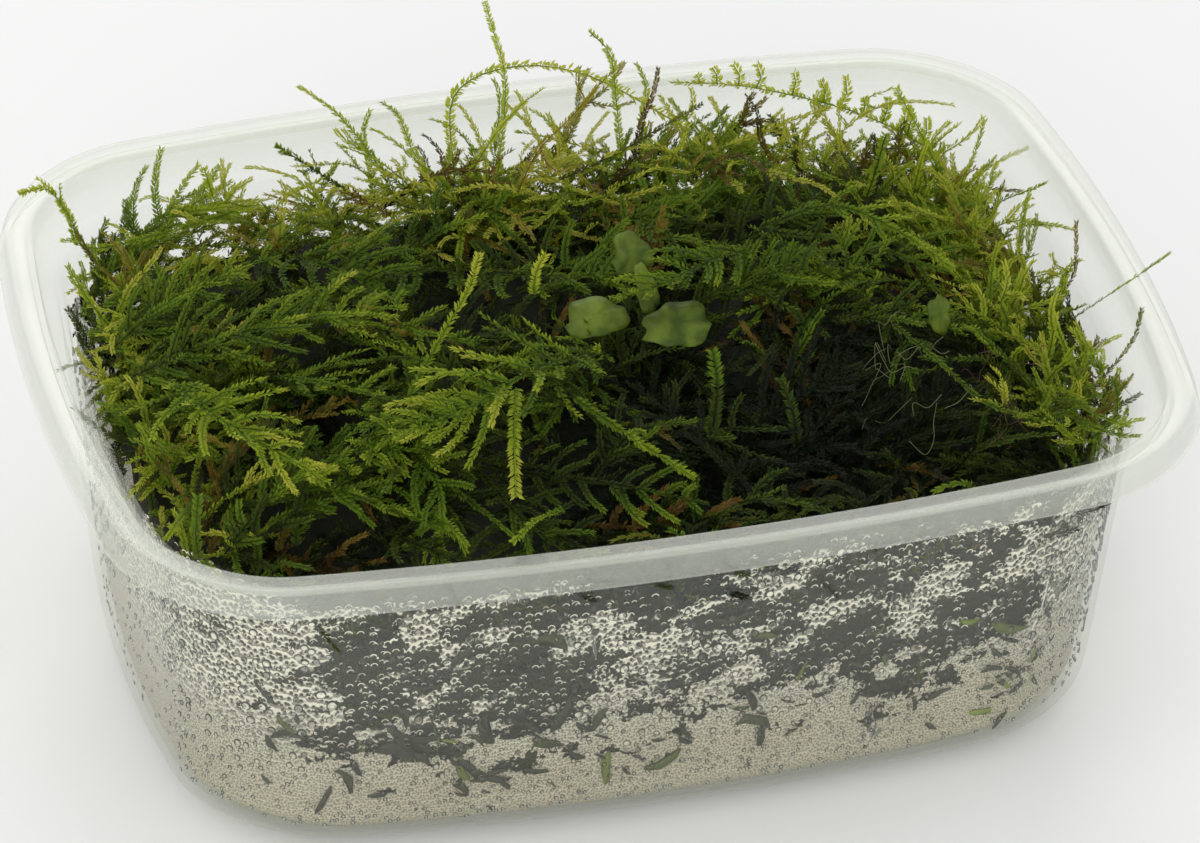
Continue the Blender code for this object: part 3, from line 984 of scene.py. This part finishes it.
def moss_leaf():
    """Living moss: dark when old and where shade is painted in, yellow-green at the young tips,
    brown where it has died.
    """
    finish = Finish("moss_leaf")
    tint = finish.node("ShaderNodeAttribute", {"attribute_name": "tint"}, out=0)
    leafiness = finish.node("ShaderNodeAttribute", {"attribute_name": "tint"}, out=3)
    # The first channel is the shoot's age together with painted shade, which darkens moss that lies
    # in shade.
    age_and_shade = finish.node("ShaderNodeSeparateColor", Color=tint)
    brown = Number(finish, age_and_shade.socket.node.outputs[1])
    chance = Number(finish, age_and_shade.socket.node.outputs[2])
    place = finish.node("ShaderNodeTexCoord", out=3)
    drift = finish.node("ShaderNodeTexNoise", Vector=place, Scale=120.0, Detail=3.0)
    youth_and_shade = age_and_shade + 0.25 * (leafiness - 0.6) + 0.3 * (drift - 0.5) + 0.2 * (chance - 0.5)
    green = finish.node("ShaderNodeValToRGB", {"ramp": [
        (0.0, (0.004, 0.008, 0.0015)),
        (0.3, (0.026, 0.047, 0.005)),
        (0.55, (0.092, 0.165, 0.011)),
        (0.8, (0.275, 0.350, 0.024)),
        (1.0, (0.640, 0.590, 0.090)),
    ]}, Fac=youth_and_shade)
    russet = blend_colours(finish, drift.between(0.35, 0.65), (0.035, 0.020, 0.006),
                           (0.200, 0.120, 0.018))
    wilt = (brown + 0.4 * (1.0 - leafiness.between(0.0, 0.3))).between(0.35, 1.0)
    colour = blend_colours(finish, wilt, green, russet)
    front = finish.node("ShaderNodeBsdfPrincipled", Base_Color=colour, Roughness=0.55,
                        Specular_IOR_Level=0.12)
    through = finish.node("ShaderNodeBsdfTranslucent", Color=(0.38, 0.48, 0.035))
    glow = (0.04 + 0.52 * youth_and_shade) * (1.0 - 0.8 * wilt)
    return finish.surface(finish.node("ShaderNodeMixShader", at_0=glow, at_1=front, at_2=through))


moss = moss_leaf()


# ---------------------------------------------------------------- packed moss
# The loose shoots lie over each other in a domed mat, hollow at the front right and thin at the
# ends, where light comes in through the wall. Shade is painted into the hollow and along the front.
# Below them the mat is dense, and near-black partly as old moss and partly as painted shade of its
# depths.

MAT_EDGE = 40.0
MAT_DOME = 12.0
MAT_HALF_LENGTH = 70.0
MAT_HALF_WIDTH = 50.0
MAT_LEVEL = 44
MAT_FRONT, MAT_BACK = -47, 40
# Each swell or dip: its rise, its place along and across the tub, and its reach.
MAT_SWELLS = ((-7.0, 20, -28, 20, 11), (-6.0, 60, 38, 16, 16), (2.5, -30, -24, 24, 12))
MOUTH_CORNER = 16.0
MOUTH_BOW_ENDS = 3.5
MOUTH_BOW_SIDES = 3.2
# Each layer, from the lowest up: how many fronds, and their depth, youth and length. The lower
# layers are darker, partly as older moss and partly as painted shade of the depths.
LAYERS = (
    (34, (-9, -5), (-0.1, 0.05), (20, 30)),
    (32, (-5, -2), (0.0, 0.25), (18, 32)),
    (28, (-2.0, 0.8), (0.25, 0.55), (16, 30)),
)
FROND_REACH = 8
CORE_CORNER = 14.0
# The core's levels from the base up: how far inside the rim each one is, and its height.
CORE_LEVELS = ((26, 2.0), (21, 4.0), (18, 9.0), (16, 18.0), (14.5, 26.0), (14.5, 33.0))
CORE_SHARES = (0.97, 0.9, 0.8, 0.7, 0.6, 0.5, 0.4, 0.3, 0.2, 0.1)
CORE_RISE = 5.5
# Each band: its name, where it starts and ends along the tub, and the seed of its draws.
BANDS = (("moss_left", -64, -22, 21), ("moss_middle", -22, 20, 22), ("moss_right", 20, 64, 23))
WALL_SHOOTS = 330
FRONT_WALL_SHOOTS = 240
FRONT_WALL = (0.53, 0.94)
BACK_WALL = (-0.06, 0.53)


def mat_top(x, y):
    """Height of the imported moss: a loaf, hollow at the front right and low in one back corner."""
    across = 1 - min(abs(x / MAT_HALF_LENGTH), 1) ** 4
    along = 1 - min(abs(y / MAT_HALF_WIDTH), 1) ** 3
    height = MAT_EDGE + MAT_DOME * across * along
    for rise, *place in MAT_SWELLS:
        height += rise * hump(x, y, *place)
    return height


def inside_tub(x, y, height, clear):
    """True if a place is at least this far inside the wall."""
    half_x = RIM_LENGTH / 2 - wall_inset(height) - WALL - clear
    half_y = RIM_WIDTH / 2 - wall_inset(height) - WALL - clear
    over_x = max(0.0, abs(x) - (half_x - MOUTH_BOW_ENDS - MOUTH_CORNER))
    over_y = max(0.0, abs(y) - (half_y - MOUTH_BOW_SIDES - MOUTH_CORNER))
    bulge_x = MOUTH_BOW_ENDS * (1 - min(1.0, abs(y) / half_y) ** 2)
    bulge_y = MOUTH_BOW_SIDES * (1 - min(1.0, abs(x) / half_x) ** 2)
    return math.hypot(max(0.0, over_x - bulge_x), max(0.0, over_y - bulge_y)) < MOUTH_CORNER


def add_core():
    """The matted inside of the clump, near-black partly as old moss and partly as painted shade of
    its depths.
    """
    levels = []
    for inset, height in CORE_LEVELS:
        level = []
        for point in tub_outline(inset, CORE_CORNER, height, 10, 10):
            rough = noise.noise(point * 0.12)
            point += Vector((point.x, point.y, 0)).normalized() * 2.5 * rough
            if point.y < 0:
                point.y -= 3.0 * ramp(-point.y, 0, 20)
            elif height == CORE_LEVELS[-1][1]:
                point.z += CORE_RISE * ramp(point.y, 0, 25)
            level.append(point)
        levels.append(level)
    shoulder = levels[-1]
    for share in CORE_SHARES:
        level = []
        for point in shoulder:
            x, y = point.x * share, point.y * share
            rough = 2.2 * noise.noise(Vector((x, y, 9)) * 0.16)
            rough += 1.2 * noise.noise(Vector((x, y, 2)) * 0.45)
            back = ramp(y, 0, 25)
            under_mat = mat_top(x, y) - 10 + 3 * back
            dome = 32 + CORE_RISE * back + 30 * (1 - share)
            level.append(Vector((x, y, rough + min(under_mat, dome))))
        levels.append(level)
    finish = Finish("matted_moss_and_shade")
    place = finish.node("ShaderNodeTexCoord", out=3)
    grain = finish.node("ShaderNodeTexNoise", Vector=place, Scale=700.0, Detail=6.0)
    # Near-black colour: partly the dark of old moss and partly painted shade of the clump's depths.
    colour = blend_colours(finish, grain, (0.003, 0.004, 0.001), (0.016, 0.020, 0.004))
    bump = finish.node("ShaderNodeBump", Height=grain, Strength=1.0, Distance=0.001)
    shader = finish.node("ShaderNodeBsdfPrincipled", Base_Color=colour, Roughness=0.85,
                         Normal=bump)
    core = piece_from("matted_core", loft(levels, True), finish.surface(shader))
    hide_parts("moss_mat")


def over_mat(points, offsets):
    """A route that follows the mat's top at these heights above it."""
    return [Vector((p[0], p[1], mat_top(p[0], p[1]) + rise)) for p, rise in zip(points, offsets)]


def flow(x, y):
    """Which way the shoots lie at a place on the mat, in radians from +X."""
    to_front = hump(x, y, -20, -30, 34, 16)
    angle = math.radians(12) + 0.9 * noise.noise(Vector((x * 0.03, y * 0.03, 1.5)))
    angle -= math.radians(70) * to_front
    return angle - math.radians(25) * ramp(x, 15, 45)


def shade_on(x, y):
    """Where shade is painted into the moss, by making it darker: in the hollow and along the front
    wall.
    """
    return max(hump(x, y, 22, -28, 25, 15), 0.75 * hump(x, y, -5, -48, 62, 8))


def fill_mat(shoots, low, high, count, depth, youth_and_shade, length):
    """Lays fronds between two places along the tub, this deep in the mat."""
    draw = shoots.draw
    placed = 0
    while placed < count:
        x = draw.uniform(low, high)
        y = draw.uniform(MAT_FRONT, MAT_BACK)
        if not inside_tub(x, y, MAT_LEVEL, 3):
            continue
        placed += 1
        angle = flow(x, y) + draw.gauss(0, 0.8) + (math.pi if draw.random() < 0.3 else 0)
        long = draw.uniform(*length)
        way = Vector((math.cos(angle), math.sin(angle)))
        bend = Vector((-way.y, way.x)) * draw.uniform(-0.2, 0.2) * long
        spots = []
        for share in (-0.5, 0.0, 0.5):
            spot = Vector((x, y)) + way * long * share + bend * (1 - (2 * share) ** 2)
            for _ in range(12):
                if inside_tub(spot.x, spot.y, MAT_LEVEL, 2.5):
                    break
                spot = spot * 0.93
            spots.append(spot)
        sink = draw.uniform(*depth)
        offsets = (sink - 3.0, sink + draw.uniform(0, 1.5), sink + draw.uniform(-2.5, 2.5))
        # Painted shade: fronds in the hollow and along the front wall are made darker, with fewer
        # bright tips.
        dark = shade_on(x, y)
        edge = max(hump(x, y, 64, 0, 16, 60), hump(x, y, -64, 0, 14, 60),
                   hump(x, y, 0, 46, 90, 18))
        ages_and_shade = (youth_and_shade[0] - 0.5 * dark, youth_and_shade[1] - 0.8 * dark + 0.62 * edge
                + draw.uniform(-0.12, 0.12))
        browning = 0.8 if draw.random() < 0.05 else 0.4 * edge * draw.random()
        if draw.random() < (0.7 if x < 40 else 0.4) * edge:
            continue
        tips = draw.uniform(0.1, 0.45) * (1 - 0.7 * dark)
        tilt = Vector((draw.gauss(0, 0.35), draw.gauss(0, 0.35), 1))
        shoots.frond(over_mat(spots, offsets), FROND_REACH * draw.uniform(0.7, 1.25),
                     spacing=draw.uniform(2.0, 3.2), size=draw.uniform(0.85, 1.15), youth_and_shade=ages_and_shade,
                     browning=browning, up=tilt, tips=tips)


def stand_in_mat(shoots, count, area, lean, length, youth_and_shade, sunk=(2, 6), browning=0.1):
    """Loose shoots that rise out of one rectangle of the mat, at this lean from upright."""
    draw = shoots.draw
    low_x, high_x, low_y, high_y = area
    placed = 0
    while placed < count:
        x, y = draw.uniform(low_x, high_x), draw.uniform(low_y, high_y)
        if not inside_tub(x, y, MAT_LEVEL, 1.5):
            continue
        placed += 1
        start = Vector((x, y, mat_top(x, y) - draw.uniform(*sunk)))
        tilt = math.radians(draw.uniform(*lean))
        turn = draw.uniform(0, 2 * math.pi)
        way = Vector((math.sin(tilt) * math.cos(turn), math.sin(tilt) * math.sin(turn),
                      math.cos(tilt)))
        long = draw.uniform(*length)
        if not inside_tub(x + way.x * long, y + way.y * long, 46, 0.5):
            way = Vector((-way.x * 0.6, -way.y * 0.6, way.z))
        # A random age, darkened by painted shade in the hollow and along the front wall.
        older_and_shaded = draw.uniform(-0.25, 0.15) - 0.6 * shade_on(x, y)
        stems = browning + (0.6 if draw.random() < 0.12 else 0.0)
        shoots.rising(start, way, long, draw.uniform(0.75, 1.1),
                      (youth_and_shade[0] + older_and_shaded, youth_and_shade[1] + older_and_shaded), stems, draw.choice((0, 1, 2, 3)))


def add_packed_moss():
    """Three pieces, from the left end of the tub to the right one, each laid in three layers."""
    for name, low, high, seed in BANDS:
        shoots = Shoots(seed)
        for layer in LAYERS:
            fill_mat(shoots, low, high, *layer)
        stand_in_mat(shoots, 60, (low, high, MAT_FRONT, 34), (50, 88), (7, 16), (0.2, 0.5))
        piece_of(name, shoots.mesh(name), moss, smooth=False)


def add_tangle(name, seed, stands):
    """An open tangle of younger shoots along one side, which light comes through."""
    shoots = Shoots(seed)
    for stand in stands:
        stand_in_mat(shoots, *stand)
    piece_of(name, shoots.mesh(name), moss, smooth=False)


def add_wall_moss():
    """Old shoots pressed against the inside of the wall, seen through the mist."""
    shoots = Shoots(41)
    draw = shoots.draw
    length = wall_ring(wall_inset(25) + WALL)[1][-1]
    for number in range(WALL_SHOOTS):
        in_front = number < FRONT_WALL_SHOOTS
        share = draw.uniform(*(FRONT_WALL if in_front else BACK_WALL))
        height = draw.uniform(4, 43 if in_front else 34)
        turn = draw.uniform(-math.pi, math.pi)
        long = draw.uniform(5, 15)
        depth = draw.uniform(1.9, 4.5)
        route = []
        for step in (0.0, 0.5, 1.0):
            rise = min(45.0, max(4.0, height + math.sin(turn) * long * step))
            around = share + math.cos(turn) * long * step / length
            route.append(on_wall(around, rise, depth + draw.uniform(0, 0.8))[0])
            turn += draw.gauss(0, 0.3)
        ages_and_shade = (draw.uniform(0.0, 0.3), draw.uniform(0.1, 0.55))
        shoots.shoot(route, draw.uniform(0.9, 1.2), ages_and_shade, draw.choice((0.0, 0.2, 0.5)))
    piece_of("wall_moss", shoots.mesh("wall_moss"), moss, smooth=False)


add_core()
add_packed_moss()
# Each stand: how many shoots, their area along and across the tub, lean, length, youth, depth
# in the mat, and browning.
add_tangle("back_tangle", 31, (
    (70, (-30, 62, 24, 46), (30, 88), (9, 18), (0.8, 1.15), (3, 8), 0.1),
    (40, (-20, 40, 24, 40), (50, 90), (10, 18), (0.65, 1.0), (2, 6), 0.2),
    (22, (-17, 6, 27, 40), (20, 70), (14, 24), (0.8, 1.1), (0, 4), 0.15),
    (22, (5, 58, 27, 42), (35, 82), (13, 22), (0.75, 1.05), (0, 4), 0.15),
    (26, (-20, 56, 26, 41), (35, 85), (10, 20), (0.1, 0.4), (0, 5), 0.8),
))
add_tangle("right_tangle", 32, (
    (140, (50, 66, -36, 40), (5, 55), (8, 16), (0.6, 0.95), (2, 6), 0.2),
))
add_tangle("left_tangle", 33, (
    (80, (-66, -50, -34, 44), (35, 88), (7, 14), (0.6, 0.95), (2, 6), 0.2),
    (50, (-60, -24, 28, 45), (35, 88), (7, 13), (0.65, 1.0), (2, 6), 0.15),
))
add_wall_moss()


# ---------------------------------------------------------------- standing shoots
# The shoots that can be told apart: the tall and hooked ones at the back, the one that hangs
# over the left end, combs and fans that lie on the mat, and thin brown stems by the right end.


def clear_of_mat(route):
    """A route in millimetres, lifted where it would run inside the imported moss."""
    return [Vector((x, y, max(z, mat_top(x, y) + 0.6))) for x, y, z in route]


def add_shoot(name, route, size=1.0, youth_and_shade=(0.4, 0.8), browning=0.0,
              branches=0):
    """A single leafy shoot, with a few side shoots if asked."""
    shoots = Shoots(name)
    lifted = clear_of_mat(route)
    shoots.shoot(lifted, size, youth_and_shade, browning, thin_tip=False)
    if branches:
        shoots.frond(lifted, 4.5, spacing=4.0, size=size * 0.9, youth_and_shade=youth_and_shade, browning=browning,
                     skip=0.45)
    piece = piece_of(name + "_leaves", shoots.mesh(name), moss, smooth=False)
    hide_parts(name)


def add_frond(name, route, reach, size=1.0, youth_and_shade=(0.3, 0.6), browning=0.0,
              up=(0, 0, 1), hands=(1, -1), spacing=2.2, tips=0.3, splay=(32, 68)):
    """A fan of shoots: one main stem with side branches in two rows."""
    shoots = Shoots(name)
    shoots.frond(clear_of_mat(route), reach, spacing=spacing, size=size, youth_and_shade=youth_and_shade,
                 browning=browning, up=Vector(up), hands=hands, skip=0.06, tips=tips, splay=splay)
    piece = piece_of(name + "_leaves", shoots.mesh(name), moss, smooth=False)
    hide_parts(name)


add_shoot("tallest_shoot", [(-4, 33, 50), (-3, 34, 64), (-5, 34, 73), (-6, 34, 77)], 0.75,
          (0.8, 1.0))
add_shoot("arched_shoot", [(-9, 37, 47), (-9, 38, 60), (-1, 39, 63), (10, 39, 60), (24, 38, 50)],
          1.3, (0.9, 1.0))
add_shoot("hooked_shoot", [(13, 33, 50), (12, 33, 60), (11, 33, 67), (8, 33, 71)], 0.9,
          (0.8, 0.95), browning=0.1)
add_shoot("crossed_shoot", [(2, 29, 48), (10, 27, 55), (18, 26, 60), (22, 26, 62)], 0.8,
          (0.2, 0.4), browning=0.5)
add_frond("back_frond", [(58, 35, 43), (52, 37, 47), (44, 38, 51), (31, 38, 56), (21, 38, 58)],
          5.2, 1.45, (0.8, 0.95), up=(0, -1, 0.1), hands=(1,), spacing=3.3,
          splay=(70, 100))
add_shoot("back_right_shoot", [(57, 27, 42), (53, 26, 52), (48, 24, 62)], 0.95, (0.6, 0.95))
add_shoot("upright_shoot", [(42, 16, 48), (43, 16, 54), (44, 15, 61)], 1.2, (0.35, 0.6))
add_shoot("corner_shoot", [(60, 30, 40), (62, 30, 46), (63, 30, 51)], 0.6, (0.7, 0.9))
add_shoot("back_left_frond", [(-24, 33, 50), (-30, 34, 55), (-34, 35, 58)], 0.9, (0.3, 0.5),
          branches=1)
add_shoot("yellow_shoot", [(-41, 38, 46), (-42, 38, 50), (-43, 38, 54)], 1.0, (0.8, 1.0))
add_shoot("left_arch", [(-40, 34, 49), (-50, 34, 47), (-60, 33, 47), (-62, 33, 52),
                        (-65, 33, 57), (-69, 32, 57.5)], 1.0, (0.7, 0.85), branches=1)
add_shoot("left_wall_shoot", [(-60, 14, 45), (-63, 16, 50), (-65.5, 18, 55)], 0.7, (0.4, 0.7))
add_shoot("left_wall_stem", [(-57, 24, 44), (-60, 26, 49), (-62.5, 27, 54)], 0.5, (0.2, 0.5),
          browning=0.8)
add_frond("left_back_frond", [(-62, 11, 45), (-53, 13, 51), (-42, 14, 54)], 7, 1.0, (0.3, 0.6))
add_frond("long_left_frond", [(-62, 2, 47), (-50, 1, 52), (-38, 0, 54.5), (-25, -1, 55)], 10,
          1.05, (0.3, 0.6))
add_frond("front_left_fan", [(-59, -13, 57), (-55, -24, 58), (-43, -34, 53)], 9, 1.1,
          (0.45, 0.7), tips=0.4)
add_shoot("bright_shoot", [(-30, -22, 56), (-25, -17, 60), (-20, -13, 65), (-18, -10, 68)], 1.0,
          (0.6, 0.95))
add_shoot("comb_shoot", [(-8, -1, 54), (-8, -1, 57), (-7, -2, 61)], 1.15, (0.65, 0.95))
add_frond("front_fan", [(-3, -15, 54), (-14, -24, 59), (-24, -29, 58), (-34, -29, 55)], 11, 1.1,
          (0.35, 0.6), tips=0.4)
add_shoot("hanging_shoot", [(-18, -29, 60), (-20, -36, 58), (-21, -41, 52)], 1.3, (0.6, 0.9))
add_shoot("spreading_shoot", [(-10, -27, 56), (-5, -33, 54), (3, -38, 49)], 1.1, (0.4, 0.75),
          branches=1)
add_shoot("rim_shoot", [(-15, -42, 50), (-20, -47, 52.6), (-24, -50.5, 52.2)], 0.8, (0.5, 0.8))
add_shoot("front_comb", [(-60, -35, 43), (-60, -33, 47), (-59, -30, 51)], 1.1, (0.25, 0.45))
add_shoot("dark_comb", [(8, -28, 46), (10, -24, 52), (10, -21, 56)], 1.4, (0.2, 0.4))
add_shoot("hollow_comb", [(20, -27, 43.5), (20, -24.5, 47.5), (19, -22, 51)], 1.3, (0.15, 0.35))
add_frond("thallus_frond", [(27, 3, 54), (16, -3, 57.5), (7, -8, 58), (0, -10, 58)], 7, 1.0,
          (0.3, 0.55))
add_shoot("right_arch", [(24, 6, 55), (33, 3, 59), (40, -3, 58), (46, -9, 55)], 1.1, (0.35, 0.75),
          branches=1)
add_shoot("right_strand", [(36, -15, 52), (40, -24, 51), (44, -31, 49), (51, -34, 47)], 0.7,
          (0.35, 0.6), browning=0.2)
add_shoot("right_wall_stem", [(63, -4, 43), (64, -6, 50), (64, -5, 57)], 0.5, (0.2, 0.4),
          browning=0.8)
add_shoot("rim_tendril", [(61, -14, 48), (66, -18, 55), (72, -19, 60)], 0.4, (0.45, 0.7),
          browning=0.3)
add_shoot("budded_shoot", [(61, -25, 45), (65, -26, 52), (66, -26, 57)], 0.55, (0.3, 0.5),
          browning=0.6)
add_shoot("right_curl", [(56.5, -36, 44), (60.5, -34.5, 47), (61, -31, 50)], 0.8, (0.3, 0.5))


# ---------------------------------------------------------------- threads
# A few hair-thin runners and rootlets, pale or brown, loop over the moss at the right.
# Each is one unbranched strand, three-sided here.

THREAD_RADIUS = 0.045
THREAD_COUNT = 26
PALE_THREADS = 12
THREAD_STEPS = 20


def add_threads():
    """Strands that wander over the top of the mat."""
    draw = random.Random(51)
    bm = bmesh.new()
    tone = bm.verts.layers.float.new("tone")
    for number in range(THREAD_COUNT):
        if number < PALE_THREADS:
            x, y, pale = draw.uniform(33, 39), draw.uniform(-31, -17), 1.0
        else:
            x, y, pale = draw.uniform(44, 58), draw.uniform(-36, -18), 0.0
        way = draw.uniform(0, 2 * math.pi)
        route = []
        for _ in range(5):
            route.append(Vector((x, y, mat_top(x, y) + draw.uniform(0.5, 3.5))))
            way += draw.gauss(0, 0.9)
            x += math.cos(way) * draw.uniform(1, 2.6)
            y += math.sin(way) * draw.uniform(1, 2.6)
        marks = smooth_route(route, THREAD_STEPS)
        rings = []
        for index, mark in enumerate(marks):
            ahead = marks[min(index + 1, THREAD_STEPS)] - marks[max(index - 1, 0)]
            side = ahead.cross(Vector((0, 0, 1))).normalized()
            rise = side.cross(ahead).normalized()
            ring = []
            for turn in range(3):
                angle = 2 * math.pi * turn / 3
                out = math.cos(angle) * side + math.sin(angle) * rise
                ring.append(bm.verts.new(mark + out * THREAD_RADIUS))
                ring[-1][tone] = pale
            rings.append(ring)
        skin(bm, rings)
    bmesh.ops.recalc_face_normals(bm, faces=bm.faces)
    strands = two_toned("threads", (0.080, 0.030, 0.010), (0.150, 0.160, 0.060), 0.5)
    piece_from("threads", bm, strands)


add_threads()


# ---------------------------------------------------------------- thallus
# Three smooth flat lobes of another plant, a liverwort, lie in the moss near its middle. They
# are a fifth of a millimetre thick, with wavy, notched edges. A narrow neck joins them, and
# a curled leaf of the same kind stands at the right.

LOBE_THICKNESS = 0.2
LOBE_SIDES = 40
LOBE_RINGS = 2


def add_lobe(name, centre, half_length, half_width, turn, tilt):
    """One lobe: a disc pulled into shape, rippled towards its edge, and given its thickness."""
    draw = random.Random(name)
    bm = bmesh.new()
    bmesh.ops.create_circle(bm, segments=LOBE_SIDES, radius=1, cap_ends=True)
    bmesh.ops.inset_individual(bm, faces=bm.faces[:], thickness=0.25, use_even_offset=False)
    for _ in range(LOBE_RINGS):
        inner = [face for face in bm.faces if len(face.verts) > 4]
        bmesh.ops.inset_individual(bm, faces=inner, thickness=0.25)
    bmesh.ops.poke(bm, faces=[face for face in bm.faces if len(face.verts) > 4])
    phase = draw.uniform(0, 6)
    for vert in bm.verts:
        angle = math.atan2(vert.co.y, vert.co.x)
        out = vert.co.length
        notch = 1 + 0.09 * math.sin(3 * angle + phase) + 0.05 * math.sin(7 * angle + 2 * phase)
        notch -= 0.22 * math.exp(-((angle - math.pi * 0.97) / 0.35) ** 2)
        ripple = 0.07 * math.sin(5 * angle + phase) + 0.05 * math.sin(9 * angle)
        vert.co = Vector((vert.co.x * notch * half_length, vert.co.y * notch * half_width,
                          0.9 * (ripple - 0.12) * out ** 2 * min(half_length, half_width)))
    bmesh.ops.recalc_face_normals(bm, faces=bm.faces)
    bmesh.ops.solidify(bm, geom=bm.faces[:], thickness=LOBE_THICKNESS)
    place = (Matrix.Translation(centre) @ Matrix.Rotation(turn, 4, "Z")
             @ Matrix.Rotation(tilt, 4, "X"))
    bmesh.ops.transform(bm, matrix=place, verts=bm.verts)
    piece = piece_from(name + "_leaf", bm, thallus)
    if name.startswith("thallus"):
        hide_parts(name)


def thallus_green():
    """Smooth, faintly mottled green, a little see-through at its thin edges."""
    finish = Finish("thallus_green")
    place = finish.node("ShaderNodeTexCoord", out=3)
    mottle = finish.node("ShaderNodeTexNoise", Vector=place, Scale=330.0, Detail=4.0)
    cells = finish.node("ShaderNodeTexVoronoi", Vector=place, Scale=3500.0)
    bump = finish.node("ShaderNodeBump", Height=cells, Strength=0.3, Distance=0.0001)
    colour = blend_colours(finish, mottle.between(0.3, 0.7), (0.055, 0.095, 0.008),
                           (0.185, 0.260, 0.026))
    front = finish.node("ShaderNodeBsdfPrincipled", Base_Color=colour, Roughness=0.45,
                        Specular_IOR_Level=0.3, Normal=bump)
    through = finish.node("ShaderNodeBsdfTranslucent", Color=(0.15, 0.24, 0.03))
    return finish.surface(finish.node("ShaderNodeMixShader", at_0=0.3, at_1=front, at_2=through))


thallus = thallus_green()
add_lobe("curled", (42.1, -16.1, 53), 1.8, 2.6, 0.3, 1.2)
add_lobe("joining", (6.2, -3.6, 54.4), 1.5, 3.4, 0.1, 0.8)
add_lobe("thallus_round_lobe", (5.6, 1.7, 56.4), 2.8, 3.0, 0.1, 0.9)
add_lobe("thallus_left_lobe", (-1.6, -7.0, 53.6), 4.4, 3.0, 0.1, 0.45)
add_lobe("thallus_right_lobe", (8.4, -10.6, 53.4), 5.0, 3.4, 0.25, 0.4)
